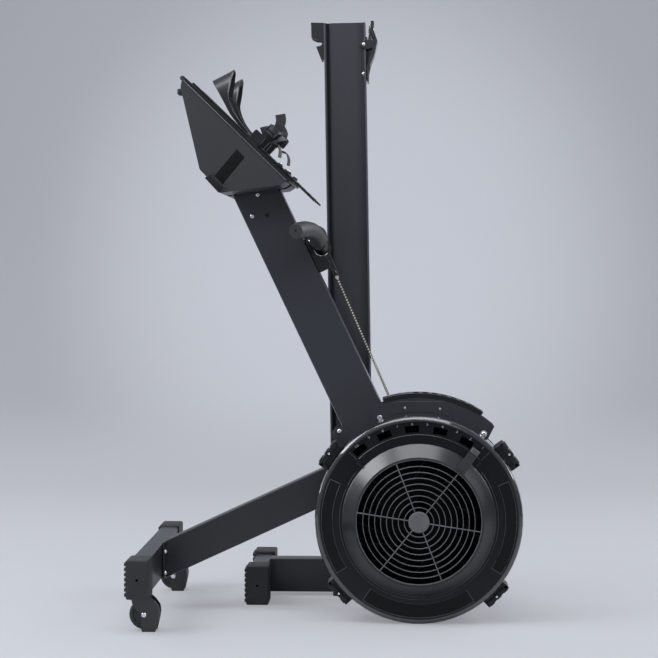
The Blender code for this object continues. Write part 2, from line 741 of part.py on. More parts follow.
def make_fan_covers(plastic):
    """The back cover, the outer cover with its damper windows and the shallow drive side cover."""
    radius = DRUM_RADIUS / math.cos(math.pi / DRUM_SIDES)
    inside = radius - DRUM_WALL
    turn = 0.5
    back_y = -(PLATE_OUTER_Y + GAP)
    bore = BEARING_RADIUS + 0.005
    back = [
        (bore, back_y), (radius - 0.004, back_y), (radius, back_y - 0.004), (radius, COVER_SEAM_Y + GAP / 2),
        (inside, COVER_SEAM_Y + GAP / 2), (inside, back_y - DRUM_WALL), (bore, back_y - DRUM_WALL),
    ]
    node("fan_back_cover", turned(back, AXLE, DRUM_SIDES, turn), plastic, smooth=30)
    face = COVER_FACE_Y
    opening = DIAL_RADIUS + 0.0005
    front = [
        (radius, COVER_SEAM_Y - GAP / 2), (radius, face + 0.009), (radius - 0.0018, face + 0.0035),
        (radius - 0.0062, face + 0.0006), (radius - 0.0078, face), (opening, face),
        (opening, face + DRUM_WALL),
        (radius - 0.0115, face + DRUM_WALL), (radius - 0.0060, face + 0.0055),
        (inside, face + 0.0105),
        (inside, COVER_SEAM_Y - GAP / 2),
    ]
    cover = node("fan_cover", turned(front, AXLE, DRUM_SIDES, turn), plastic)
    scale_band = sector(SECTOR_INNER, SECTOR_OUTER, SECTOR_START, SECTOR_END, 10)
    cutters = [prism(scale_band, face - 0.01, face + SECTOR_DEPTH)]
    for start, end, inner in INSET_PANELS:
        outline = sector(inner, INSET_OUTER, start, end, 6)
        cutters.append(prism(outline, face - 0.01, face + INSET_DEPTH))
    cut(cover, merged(cutters))
    windows = []
    half_angle = math.degrees(WINDOW_SIZE[0] / 2 / WINDOW_RADIUS)
    for k in range(WINDOW_COUNT):
        middle = WINDOW_FIRST + WINDOW_PITCH * k
        low, high = WINDOW_RADIUS - WINDOW_SIZE[1] / 2, WINDOW_RADIUS + WINDOW_SIZE[1] / 2
        window = sector(low, high, middle - half_angle, middle + half_angle, 2)
        windows.append(prism(window, face - 0.01, face + 0.02))
    cut(cover, merged(windows))
    smooth_shade(cover, 25)
    far_y = PLATE_OUTER_Y + GAP
    drive = [
        (radius, far_y), (radius, FAR_FACE_Y - 0.006), (radius - 0.006, FAR_FACE_Y), (0.0, FAR_FACE_Y),
        (0.0, FAR_FACE_Y - DRUM_WALL), (radius - 0.0072, FAR_FACE_Y - DRUM_WALL),
        (inside, FAR_FACE_Y - 0.0075), (inside, far_y),
    ]
    node("drive_cover", turned(drive, AXLE, DRUM_SIDES, turn), plastic, smooth=30)


def make_rim_clips(plastic):
    """Clips that hold the two fan covers together across their seam."""
    radius = DRUM_RADIUS / math.cos(math.pi / DRUM_SIDES) + GAP
    for word, angle, lug, length in CLIPS:
        middle = polar(radius, angle)
        out = polar(1.0, angle, (0.0, 0.0))
        side = (-out[1], out[0])

        def place(t, h):
            return (middle[0] + side[0] * t + out[0] * h, middle[1] + side[1] * t + out[1] * h)

        half = length / 2
        outline = [
            place(-half, 0.0), place(-half, CLIP_HEIGHT * 0.55), place(-half + 0.004, CLIP_HEIGHT * 0.8),
            place(-half * 0.45, CLIP_HEIGHT * 0.8), place(-half * 0.40, CLIP_HEIGHT),
            place(half * 0.40, CLIP_HEIGHT), place(half * 0.45, CLIP_HEIGHT * 0.8),
            place(half - 0.004, CLIP_HEIGHT * 0.8),
            place(half, CLIP_HEIGHT * 0.55), place(half, 0.0),
        ]
        low_y = COVER_SEAM_Y - CLIP_DEPTH - lug
        body = prism(outline, low_y, COVER_SEAM_Y + CLIP_DEPTH / 2, 0.0012, 1)
        clip = node(f"rim_clip_{word}", body, plastic)
        cut(clip, pin(radius, AXLE, low_y - 0.01, COVER_SEAM_Y + CLIP_DEPTH, DRUM_SIDES * 2))
        cut(clip, pin(0.0035, place(0.0, CLIP_HEIGHT * 0.62), low_y - 0.01, low_y + 0.004, 12))


def make_damper(plastic, dark):
    """The turning dial: a cone with the lever, and the shutter behind the cover's windows."""
    back = COVER_FACE_Y + DRUM_WALL + SLIDE_GAP
    lip = 0.0060
    profile = [
        (DIAL_OPENING, DIAL_FRONT_Y), (DIAL_OPENING + 0.0035, DIAL_FRONT_Y - 0.0005),
        (DIAL_RADIUS - 0.0025, COVER_FACE_Y - 0.0025), (DIAL_RADIUS, COVER_FACE_Y - 0.0010),
        (DIAL_RADIUS, back), (DIAL_RADIUS + lip, back), (DIAL_RADIUS + lip, back + 0.0026),
        (DIAL_RADIUS - 0.0055, back + 0.0026), (DIAL_RADIUS - 0.0060, COVER_FACE_Y),
        (DIAL_OPENING + 0.0015, DIAL_FRONT_Y + 0.0035), (DIAL_OPENING, DIAL_FRONT_Y + 0.0035),
    ]
    dial = node("damper_dial", turned(profile, AXLE, DIAL_SIDES), plastic)
    shutter = sector(DIAL_RADIUS + lip - 0.003, SHUTTER_OUTER, SHUTTER_START, SHUTTER_END, 12)
    join(dial, prism(shutter, back, back + 0.0026))
    out = polar(1.0, LEVER_ANGLE, (0.0, 0.0))
    side = (-out[1], out[0])
    front = COVER_FACE_Y - 0.0012
    lever_profile = [
        (DIAL_OPENING + 0.0012, DIAL_FRONT_Y + 0.001), (DIAL_OPENING + 0.0012, DIAL_FRONT_Y - 0.0035),
        (DIAL_OPENING + 0.0120, DIAL_FRONT_Y - 0.0035),
        (LEVER_REACH - 0.016, front - LEVER_THICKNESS - 0.004),
        (LEVER_REACH - 0.002, front - LEVER_THICKNESS - 0.004), (LEVER_REACH, front - LEVER_THICKNESS),
        (LEVER_REACH, front), (DIAL_RADIUS + 0.0010, front), (DIAL_RADIUS - 0.0040, COVER_FACE_Y - 0.0008),
    ]
    rings = []
    for t in (-LEVER_WIDTH / 2, LEVER_WIDTH / 2):
        ring = []
        for r, y in lever_profile:
            ring.append((out[0] * r + side[0] * t, y, AXLE_Z + out[1] * r + side[1] * t))
        rings.append(ring)
    join(dial, swept(rings))
    smooth_shade(dial, 25)

    shape = bmesh.new()
    half = GRILLE_BAR / 2
    radii = [HUB_DISC_RADIUS]
    for k in range(GRILLE_RINGS):
        ring = GRILLE_FIRST_RING + GRILLE_PITCH * k
        radii += [ring - half, ring + half]
    radii.append(DIAL_OPENING - GAP)
    circles = []
    for radius in radii:
        spread = math.asin(half / radius)
        circle = []
        for spoke in range(GRILLE_SPOKES):
            base = math.radians(LEVER_ANGLE) + math.tau * spoke / GRILLE_SPOKES
            span = math.tau / GRILLE_SPOKES - 2 * spread
            circle.append(base - spread)
            circle += [base + spread + span * k / GRILLE_ARC_STEPS for k in range(GRILLE_ARC_STEPS)]
        points = [polar(radius, math.degrees(a)) for a in circle]
        circles.append([shape.verts.new((x, DIAL_FRONT_Y, z)) for x, z in points])
    steps = GRILLE_ARC_STEPS + 1
    count = len(circles[0])
    centre = shape.verts.new((0.0, DIAL_FRONT_Y, AXLE_Z))
    for k in range(count):
        shape.faces.new((centre, circles[0][k], circles[0][(k + 1) % count]))
    for index in range(len(radii) - 1):
        ring_band = index % 2 == 1
        for k in range(count):
            if ring_band or k % steps == 0:
                n = (k + 1) % count
                near, far = circles[index], circles[index + 1]
                shape.faces.new((near[k], far[k], far[n], near[n]))
    loose = [v for v in shape.verts if not v.link_faces]
    bmesh.ops.delete(shape, geom=loose, context="VERTS")
    moved = bmesh.ops.extrude_face_region(shape, geom=shape.faces[:])
    raised = [item for item in moved["geom"] if isinstance(item, bmesh.types.BMVert)]
    bmesh.ops.translate(shape, verts=raised, vec=(0, GRILLE_DEPTH, 0))
    node("fan_grille", mesh_of(shape), dark)


def make_fan(steel, bright):
    """The bladed fan wheel, its axle and the two bearings in the side plates."""
    bore = AXLE_RADIUS + GAP
    disc_y = FAN_BACK_Y - FAN_DISC
    profile = [
        (bore, FAN_BACK_Y + 0.005), (FAN_HUB_RADIUS, FAN_BACK_Y + 0.005), (FAN_HUB_RADIUS, FAN_BACK_Y),
        (FAN_RADIUS, FAN_BACK_Y), (FAN_RADIUS, disc_y - 0.010), (FAN_RADIUS - 0.006, disc_y - 0.010),
        (FAN_RADIUS - 0.006, disc_y), (FAN_HUB_RADIUS, disc_y), (FAN_HUB_RADIUS * 0.7, FAN_FRONT_Y),
        (bore, FAN_FRONT_Y),
    ]
    fan = node("fan_wheel", turned(profile, AXLE, 40), steel)
    blades = []
    half = FAN_BLADE_THICKNESS / 2
    for k in range(FAN_BLADES):
        base = 360.0 * k / FAN_BLADES
        inner = Vector(polar(FAN_BLADE_INNER, base))
        outer = Vector(polar(FAN_RADIUS - 0.0015, base - FAN_BLADE_SWEEP))
        along_blade = (outer - inner).normalized()
        across = Vector((-along_blade.y, along_blade.x)) * half
        corners = [tuple(p) for p in (inner - across, outer - across, outer + across, inner + across)]
        blades.append(prism(corners, FAN_FRONT_Y, disc_y + 0.001))
    join(fan, merged(blades))
    head = AXLE_RADIUS + 0.0035
    front = FAN_FRONT_Y - GAP
    axle = [
        (0.0, front - 0.009), (head, front - 0.009), (head, front), (AXLE_RADIUS, front),
        (AXLE_RADIUS, AXLE_FAR_Y), (0.0, AXLE_FAR_Y),
    ]
    node("fan_axle", turned(axle, AXLE, 24), bright, smooth=30)
    middle = (PLATE_INNER_Y + PLATE_OUTER_Y) / 2
    for word, side in (("near", -1), ("far", 1)):
        y = side * middle
        ring = disc_profile(BEARING_RADIUS, y - BEARING_WIDTH / 2, y + BEARING_WIDTH / 2, bore, 0.0008)
        node(f"axle_bearing_{word}", turned(ring, AXLE, 24), bright, smooth=30)


def sprocket_outline(extra=0.0):
    """The sprocket's teeth; a roller seat lies at each whole tooth angle."""
    root = SPROCKET_RADIUS - CHAIN_PITCH * 0.27 + extra
    tip = SPROCKET_RADIUS + CHAIN_PITCH * 0.30 + extra
    flank = SPROCKET_RADIUS + CHAIN_PITCH * 0.02 + extra
    tooth = ((-0.14, root), (0.14, root), (0.27, flank), (0.42, tip), (0.58, tip), (0.73, flank))
    points = []
    for k in range(SPROCKET_TEETH):
        for part, radius in tooth:
            points.append(polar(radius, 360.0 * (k + part) / SPROCKET_TEETH))
    return points


def make_sprocket(bright):
    disc = prism(sprocket_outline(), -SPROCKET_WIDTH / 2, SPROCKET_WIDTH / 2)
    sprocket = node("drive_sprocket", disc, bright)
    half = SPROCKET_HUB_WIDTH / 2
    join(sprocket, pin(SPROCKET_HUB_RADIUS, AXLE, -half, half, 32))
    cut(sprocket, pin(AXLE_RADIUS + GAP, AXLE, -0.02, 0.02, 24))
    return sprocket


def chain_skin(points):
    """A roller chain as one solid: plates swell at each pin, and inner and outer links take turns."""
    rings = []
    count = len(points)
    for index, (x, z) in enumerate(points):
        before = points[max(index - 1, 0)]
        after = points[min(index + 1, count - 1)]
        d = Vector((after[0] - before[0], after[1] - before[1])).normalized()
        across = Vector((d.y, -d.x))
        at_pin = index % 2 == 0
        height = (CHAIN_PLATE_HEIGHT if at_pin else CHAIN_WAIST) / 2
        outer_link = (index // 2) % 2 == 0
        width = (CHAIN_OUTER_WIDTH if outer_link else CHAIN_INNER_WIDTH) / 2
        ring = []
        for u, y in ((-height, -width), (height, -width), (height, width), (-height, width)):
            ring.append((x + across.x * u, y, z + across.y * u))
        rings.append(ring)
    return swept(rings)


def walk(path, step):
    """Points at equal steps along a polyline."""
    points = [Vector(p) for p in path]
    made = [tuple(points[0])]
    need = step
    for a, b in zip(points, points[1:]):
        length = (b - a).length
        done = 0.0
        while length - done >= need - 1e-9:
            done += need
            made.append(tuple(a + (b - a) * (done / length)))
            need = step
        need -= length - done
    return made


def chain_end():
    """Where the chain ends inside the beam and the return cord begins."""
    return beam_point(CHAIN_END_AT, -PULLEY_RADIUS)


def make_chain(bright):
    """The straight run that the handle pulls, and the rest from the guide roller round the sprocket."""
    step = CHAIN_PITCH / 2
    run_start = along(CHAIN_TOP, CHAIN_DOWN, 0.0062)
    run_end = along(CHAIN_MOUTH, CHAIN_DOWN, GUIDE_ROLLER_AT - 0.004)
    node("chain_run", chain_skin(walk([run_start, run_end], step)), bright)
    roller = guide_roller_centre()
    down = math.degrees(math.atan2(CHAIN_DOWN[1], CHAIN_DOWN[0]))
    gap = math.dist(roller, AXLE)
    heading = math.degrees(math.atan2(AXLE_Z - roller[1], -roller[0]))
    lean = math.degrees(math.asin((SPROCKET_RADIUS - GUIDE_ROLLER_RADIUS) / gap))
    to_sprocket = heading + lean
    end = chain_end()
    reach = math.dist(end, AXLE)
    leave = math.degrees(math.atan2(end[1] - AXLE_Z, end[0]) + math.acos(SPROCKET_RADIUS / reach)) - 360.0
    path = [along(CHAIN_MOUTH, CHAIN_DOWN, GUIDE_ROLLER_AT - 0.004 + 2 * GAP)]
    path += arc_points(GUIDE_ROLLER_RADIUS, down + 90, to_sprocket + 90, 4, roller)
    path += arc_points(SPROCKET_RADIUS, to_sprocket + 90, leave, 40, AXLE)
    path.append(end)
    wrap = node("chain_wrap", chain_skin(walk(path, step)), bright)
    clearance = 0.0004
    half = SPROCKET_WIDTH / 2 + clearance
    cut(wrap, prism(sprocket_outline(clearance), -half, half))
    return wrap


def smooth_path(points, steps):
    """A curve through the given points, with some steps between each pair."""
    points = [Vector(p) for p in points]
    ends = [2 * points[0] - points[1]] + points + [2 * points[-1] - points[-2]]
    made = []
    for k in range(1, len(ends) - 2):
        a, b, c, d = ends[k - 1:k + 3]
        for step in range(steps):
            t = step / steps
            bend, twist = 2 * a - 5 * b + 4 * c - d, 3 * b - a - 3 * c + d
            made.append(0.5 * (2 * b + (c - a) * t + bend * t * t + twist * t ** 3))
    return made + [points[-1]]


def rings_round(path, radii, sides):
    """Rings of points square to a path, one radius to each point."""
    rings = []
    for k, (centre, radius) in enumerate(zip(path, radii)):
        heading = (path[min(k + 1, len(path) - 1)] - path[max(k - 1, 0)]).normalized()
        reference = Vector((0, 0, 1)) if abs(heading.z) < 0.8 else Vector((0, 1, 0))
        side = heading.cross(reference).normalized()
        up = side.cross(heading)
        angles = [math.tau * n / sides for n in range(sides)]
        rings.append([centre + (side * math.cos(a) + up * math.sin(a)) * radius for a in angles])
    return rings


def handle_path(steps):
    half = len(HANDLE_RISE) - 1
    points = []
    for k, (y, up, out) in enumerate(HANDLE_RISE[:0:-1] + HANDLE_RISE):
        x, z = along(HANDLE_CENTRE, PULL, up, out)
        points.append((x, -y if k < half else y, z))
    return smooth_path(points, steps)


def part_of_path(path, low, high, stops=()):
    """The stretch of a path between two Y values, with a point added at both and at each stop."""
    made = {round(p.y, 6): p for p in path if low <= p.y <= high}
    for a, b in zip(path, path[1:]):
        for limit in (low, high, *stops):
            if a.y < limit < b.y:
                made[round(limit, 6)] = a.lerp(b, (limit - a.y) / (b.y - a.y))
    return [made[y] for y in sorted(made)]


def make_handle(plastic, rubber, steel):
    """The bar with its thicker middle, two grips and the shackle that holds the chain."""
    path = handle_path(3)
    end = HANDLE_HALF - GRIP_END_WALL - GAP
    shoulder = HANDLE_MIDDLE_HALF + 0.004
    stops = (-shoulder, -HANDLE_MIDDLE_HALF, HANDLE_MIDDLE_HALF, shoulder)
    core = part_of_path(path, -end, end, stops)
    radii = []
    for p in core:
        thick = abs(p.y) < HANDLE_MIDDLE_HALF + 1e-6
        radii.append(HANDLE_MIDDLE_RADIUS if thick else HANDLE_CORE_RADIUS)
    node("handle_bar", swept(rings_round(core, radii, 16)), plastic, smooth=40)
    for word, side in (("near", -1), ("far", 1)):
        low, high = sorted((side * GRIP_START, side * HANDLE_HALF))
        line = part_of_path(path, low, high)
        if side < 0:
            line = line[::-1]
        count = len(line)
        outer = [GRIP_RADIUS] * count
        outer[0] = GRIP_RADIUS - 0.002
        outer[-1] = GRIP_RADIUS - 0.003
        rings = rings_round(line, outer, 16)
        last = line[-1] + (line[-2] - line[-1]).normalized() * GRIP_END_WALL
        inner_line = line[:-1] + [last]
        inner = rings_round(inner_line, [HANDLE_CORE_RADIUS + GAP] * len(inner_line), 16)
        hole = rings_round([last, line[-1]], [GRIP_HOLE] * 2, 16)
        node(f"grip_{word}", swept(rings + hole[::-1] + inner[::-1], loop=True), rubber, smooth=40)
    half = SHACKLE_THICK / 2
    bore = HANDLE_MIDDLE_RADIUS + SHACKLE_PLAY
    ring = bore + 0.0035
    foot = along(CHAIN_TOP, CHAIN_DOWN, 0.0058)
    start = math.degrees(math.atan2(CHAIN_DOWN[1], CHAIN_DOWN[0]))
    outline = arc_points(ring, start + 35, start + 325, 20, HANDLE_CENTRE)
    outline += [along(foot, CHAIN_DOWN, -0.024, 0.0065), along(foot, CHAIN_DOWN, -0.0025, 0.0050)]
    outline += [along(foot, CHAIN_DOWN, 0.0, 0.0030), along(foot, CHAIN_DOWN, 0.0, -0.0030)]
    outline += [along(foot, CHAIN_DOWN, -0.0025, -0.0050), along(foot, CHAIN_DOWN, -0.024, -0.0065)]
    shackle = node("handle_shackle", prism(outline, -half, half), steel)
    cut(shackle, pin(bore, HANDLE_CENTRE, -0.02, 0.02, 24))


def make_handle_holder(plastic):
    face = BEAM_HEIGHT / 2 + GAP
    outline = [beam_point(distance, face + out) for distance, out in HOLDER_SIDE]
    half = HOLDER_WIDTH / 2
    holder = node("handle_holder", prism(outline, -half, half), plastic)
    below, above = HOLDER_SIDE[0][0] - HOLDER_WIDTH, HOLDER_SIDE[-1][0] + HOLDER_WIDTH
    floor, over = face + HOLDER_FLOOR, face + HOLDER_WIDTH
    slot = [beam_point(d, out) for d, out in ((below, floor), (above, floor), (above, over), (below, over))]
    cut(holder, prism(slot, -HOLDER_SLOT / 2, HOLDER_SLOT / 2))
    cut(holder, pin(HANDLE_MIDDLE_RADIUS + SLIDE_GAP, HANDLE_CENTRE, -0.05, 0.05, 40))


def make_rollers_and_cord(plastic, cord_finish):
    """The guide roller under the chain, the pulley in the beam and the return cord round it."""
    chain_half = CHAIN_PLATE_HEIGHT / 2
    groove = GUIDE_ROLLER_RADIUS - chain_half - GAP
    rim = GUIDE_ROLLER_RADIUS + 0.002
    flange = CHAIN_OUTER_WIDTH / 2 + 0.0008
    end = PLATE_OUTER_Y
    profile = [
        (0.0, -end), (GUIDE_PIN, -end), (GUIDE_PIN, -flange - 0.004), (rim, -flange - 0.004),
        (rim, -flange), (groove, -flange + 0.0004), (groove, flange - 0.0004), (rim, flange),
        (rim, flange + 0.004), (GUIDE_PIN, flange + 0.004), (GUIDE_PIN, end), (0.0, end),
    ]
    node("guide_roller", turned(profile, guide_roller_centre(), 18), plastic, smooth=30)
    inner = PULLEY_RADIUS - CORD_RADIUS - RUN_GAP
    rim = PULLEY_RADIUS + CORD_RADIUS * 0.6
    half = CORD_RADIUS + 0.003
    profile = [
        (0.0, -HALF_BEAM), (PULLEY_PIN, -HALF_BEAM), (PULLEY_PIN, -half), (rim, -half),
        (rim, -CORD_RADIUS - 0.0012), (inner, -CORD_RADIUS), (inner, CORD_RADIUS),
        (rim, CORD_RADIUS + 0.0012), (rim, half),
        (PULLEY_PIN, half), (PULLEY_PIN, HALF_BEAM), (0.0, HALF_BEAM),
    ]
    node("return_pulley", turned(profile, beam_point(PULLEY_AT), 18), plastic, smooth=30)
    lean = math.degrees(math.atan2(BEAM_OUT[1], BEAM_OUT[0]))
    route = [along(chain_end(), BEAM_UP, 2 * GAP)]
    route += arc_points(PULLEY_RADIUS, lean + 180, lean, 12, beam_point(PULLEY_AT))
    route.append(beam_point(CORD_ANCHOR_AT + PULLEY_PIN + 2 * GAP, PULLEY_RADIUS))
    rings = rings_round([Vector((x, 0.0, z)) for x, z in route], [CORD_RADIUS] * len(route), 8)
    node("return_cord", swept(rings), cord_finish, smooth=60)


def make_footrest(panel, plastic, rubber, webbing):
    """Two side housings under one board, with a sliding plate, heel cup, strap and buckle for each foot."""
    board_end = math.dist(BOARD_LINE_TOP, BOARD_LINE_END)
    block_length, block_width, block_height = STRAP_BLOCK
    slab = [
        board_point(-BOARD_OVERHANG, 0.0), board_point(board_end + BOARD_OVERHANG, 0.0),
        board_point(board_end + BOARD_OVERHANG, BOARD_THICKNESS),
        board_point(-BOARD_OVERHANG, BOARD_THICKNESS),
    ]
    board = node("footboard", prism(slab, -FOOTREST_HALF, FOOTREST_HALF, BOARD_ROUND), plastic)
    blocks = []
    for side in (-1, 1):
        for out in (-1, 1):
            y = side * (FOOT_CENTRE_Y + out * STRAP_ARCH[0][0])
            low, high = STRAP_AT - block_length / 2, STRAP_AT + block_length / 2
            sunk, crown = BOARD_THICKNESS - 0.001, BOARD_THICKNESS + block_height
            corners = [board_point(low, sunk), board_point(high, sunk), board_point(high, crown)]
            corners.append(board_point(low, crown))
            blocks.append(prism(corners, y - block_width / 2, y + block_width / 2, 0.003))
    join(board, merged(blocks))
    for word, side in (("near", -1), ("far", 1)):
        outline = [from_beam_end(p) for p in HOUSING_OUTLINE]
        outline += [board_point(board_end - 0.001, -GAP), board_point(0.0, -GAP)]
        outer = side * FOOTREST_HALF
        inner = side * PLATE_INNER_Y
        low, high = sorted((outer, inner))
        housing = node(f"footrest_housing_{word}", prism(outline, low, high, 0.003), panel)
        low, high = sorted((outer - side * HOUSING_WALL, inner - side * 0.02))
        cut(housing, prism(inset(outline, HOUSING_WALL), low, high))
        low, high = sorted((outer - side * 0.001, outer + side * PANEL_BLOCK_PROUD))
        join(housing, prism([from_beam_end(p) for p in PANEL_BLOCK], low, high, 0.0015))
        low, high = sorted((outer - side * PANEL_RECESS_DEPTH, outer + side * 0.02))
        cut(housing, prism([from_beam_end(p) for p in PANEL_RECESS], low, high))

        centre = side * FOOT_CENTRE_Y
        base = BOARD_THICKNESS + SLIDE_GAP
        top = base + FOOT_PLATE_THICKNESS
        end = FOOT_PLATE_START + FOOT_PLATE_LENGTH
        start = FOOT_PLATE_START
        shape = [board_point(r, o) for r, o in ((start, base), (end, base), (end, top), (start, top))]
        half = FOOT_PLATE_WIDTH / 2
        plate = node(f"foot_plate_{word}", prism(shape, centre - half, centre + half), plastic)
        ribs = []
        first = start + 0.165
        pitch = (end - 0.006 - first) / FOOT_PLATE_RIBS
        sunk, crown = top - 0.001, top + FOOT_PLATE_RIB
        for k in range(FOOT_PLATE_RIBS):
            run = first + pitch * k
            beyond = run + pitch * 0.45
            rib = [board_point(r, o) for r, o in ((run, sunk), (beyond, sunk), (beyond, crown), (run, crown))]
            ribs.append(prism(rib, centre - half + 0.006, centre + half - 0.006))
        join(plate, merged(ribs))

        band = list(HEEL_BAND) + [row[:4] + (-row[4],) for row in HEEL_BAND[-2::-1]]
        rings = []
        for k, (low_run, low_out, high_run, high_out, y) in enumerate(band):
            before, after = band[max(k - 1, 0)], band[min(k + 1, len(band) - 1)]
            d = Vector((after[0] - before[0], after[4] - before[4])).normalized()
            across = Vector((d.y, -d.x)) * HEEL_WALL / 2
            ring = []
            foot_edge, high_edge = (low_run, low_out), (high_run, high_out)
            for (run, out), turn in ((foot_edge, -1), (high_edge, -1), (high_edge, 1), (foot_edge, 1)):
                x, z = board_point(start + run + across.x * turn, top + GAP + out)
                ring.append((x, centre + y + across.y * turn, z))
            rings.append(ring)
        node(f"heel_cup_{word}", swept(rings), rubber, smooth=40)

        foot = BOARD_THICKNESS + block_height + GAP
        arch = [(-y, out) for y, out in STRAP_ARCH[:-1]] + [(y, out) for y, out in STRAP_ARCH[::-1]]
        peak = STRAP_ARCH[-1][1]
        rings = []
        for k, (y, out) in enumerate(arch):
            before, after = arch[max(k - 1, 0)], arch[min(k + 1, len(arch) - 1)]
            d = Vector((after[0] - before[0], after[1] - before[1])).normalized()
            across = Vector((-d.y, d.x)) * STRAP_THICKNESS
            if k in (0, len(arch) - 1):
                across = Vector((-STRAP_THICKNESS if k else STRAP_THICKNESS, 0.0)) * -1
            run = STRAP_AT + STRAP_LEAN * out / peak
            ring = []
            for edge, lift in ((-1, 0), (1, 0), (1, 1), (-1, 1)):
                x, z = board_point(run + edge * STRAP_WIDTH / 2, foot + out + across.y * lift)
                ring.append((x, centre + y + across.x * lift, z))
            rings.append(ring)
        node(f"toe_strap_{word}", swept(rings), webbing, smooth=50)

        (y0, out0), (y1, out1) = STRAP_ARCH[1], STRAP_ARCH[2]
        d = Vector((y0 - y1, out0 - out1)).normalized()
        normal = Vector((-d.y, d.x))
        middle = Vector(((y0 + y1) / 2, (out0 + out1) / 2))
        run = STRAP_AT + STRAP_LEAN * middle.y / peak + 0.006
        rings = []
        for edge in (-1, 1):
            ring = []
            for t, h in ((-0.5, 0), (0.5, 0), (0.5, 1), (-0.5, 1)):
                at = middle + d * BUCKLE_SIZE[1] * t + normal * (STRAP_THICKNESS + GAP + BUCKLE_SIZE[2] * h)
                x, z = board_point(run + edge * BUCKLE_SIZE[0] / 2, foot + at.y)
                ring.append((x, centre + side * at.x, z))
            rings.append(ring)
        node(f"strap_buckle_{word}", swept(rings), plastic)


def make_rail(paint, rubber, steel):
    """The seat rail with its end cap, hook bracket and lock lever."""
    half = RAIL_WIDTH / 2
    low, mid, high = RAIL_STEPS
    profile = [
        (0.0, half), (low, half), (low, RAIL_GROOVE), (mid, RAIL_GROOVE), (mid, RAIL_NECK), (high, RAIL_NECK),
        (high, half), (RAIL_DEPTH, half),
    ]
    profile += [(s, -y) for s, y in profile[::-1]]
    start = RAIL_CAP + GAP
    rings = []
    for height in (start, RAIL_HEIGHT):
        ring = []
        for s, y in profile:
            x, z = rail_point(height, s)
            ring.append((x, RAIL_Y + y, z))
        rings.append(ring)
    rail = node("seat_rail", swept(rings), paint)
    over = RAIL_HEIGHT + RAIL_DEPTH
    inner, outer = RAIL_WALL, RAIL_DEPTH - RAIL_WALL
    bore = [rail_point(h, s) for h, s in ((0.0, inner), (0.0, outer), (over, outer), (over, inner))]
    cut(rail, prism(bore, RAIL_Y - RAIL_HOLLOW, RAIL_Y + RAIL_HOLLOW))

    floor_right = RAIL_FOOT_X + RAIL_DEPTH
    foot = [rail_point(RAIL_CAP, 0.0), RAIL_FOOT, (floor_right, 0.0), rail_point(RAIL_CAP, RAIL_DEPTH)]
    cap = node("rail_end_cap", prism(foot, RAIL_Y - half, RAIL_Y + half, 0.0025), rubber)
    edge = RAIL_WALL + GAP
    low, high, far_edge = RAIL_CAP - 0.002, RAIL_CAP + RAIL_CAP_PLUG, RAIL_DEPTH - edge
    plug = [rail_point(h, s) for h, s in ((low, edge), (low, far_edge), (high, far_edge), (high, edge))]
    join(cap, prism(plug, RAIL_Y - RAIL_HOLLOW + GAP, RAIL_Y + RAIL_HOLLOW - GAP))

    side = HOOK_WIDTH / 2
    foot_height = RAIL_HEIGHT + HOOK_OUTLINE[-1][1]
    back = [rail_point(foot_height, -GAP), rail_point(RAIL_HEIGHT + 0.0014, -GAP)]
    cheeks = [from_rail_top(p) for p in HOOK_OUTLINE] + back
    hook = node("hook_bracket", prism(cheeks, RAIL_Y - side, RAIL_Y + side), steel)
    notch, notch_radius = from_rail_top(HOOK_NOTCH[0]), HOOK_NOTCH[1]
    cut(hook, pin(notch_radius, notch, RAIL_Y - HOOK_WIDTH, RAIL_Y + HOOK_WIDTH, 24))
    mouth = [from_rail_top(p) for p in HOOK_MOUTH]
    cut(hook, prism(mouth, RAIL_Y - HOOK_WIDTH, RAIL_Y + HOOK_WIDTH))
    below, above = foot_height - HOOK_WIDTH, RAIL_HEIGHT + HOOK_WIDTH
    pocket = [
        rail_point(below, -HOOK_PLATE), rail_point(above, -HOOK_PLATE),
        rail_point(above, -RAIL_DEPTH), rail_point(below, -RAIL_DEPTH),
    ]
    cut(hook, prism(pocket, RAIL_Y - side + HOOK_PLATE, RAIL_Y + side - HOOK_PLATE))

    lever_half = half + GAP + LOCK_WALL
    bow = [from_rail_top(p) for p in LOCK_BOW]
    lever = node("lock_lever", prism(bow, RAIL_Y - lever_half, RAIL_Y + lever_half), steel)
    ears = []
    for sign in (-1, 1):
        ear = arc_points(LOCK_EAR_RADIUS, 95, 265, 8, from_rail_top(LOCK_PIVOT))
        ear += [from_rail_top(p) for p in LOCK_EAR]
        near, far = sorted((RAIL_Y + sign * (half + GAP), RAIL_Y + sign * lever_half))
        ears.append(prism(ear, near, far))
    join(lever, merged(ears))


def make_rear_leg(paint):
    left = REAR_FOOT_X + FOOT_BAR_THICK / 2 + GAP
    right = RAIL_FOOT_X - math.tan(math.radians(RAIL_LEAN)) * (REAR_FOOT_Z + 0.0037) - GAP
    middle = REAR_FOOT_Z + 0.0037

    def place(distance, a, b):
        return (left + distance, RAIL_Y + b, middle + a)

    slants = (0.0, -math.tan(math.radians(RAIL_LEAN)))
    tube = hollow_bar(place, (REAR_LEG_HEIGHT, REAR_LEG_WIDTH), LEG_WALL, 0.004, 0.0, right - left, slants)
    node("rear_leg", tube, paint)


def seat_point(height, out):
    """A place by the rail: height along it, out from its right face."""
    return rail_point(height, RAIL_DEPTH + out)


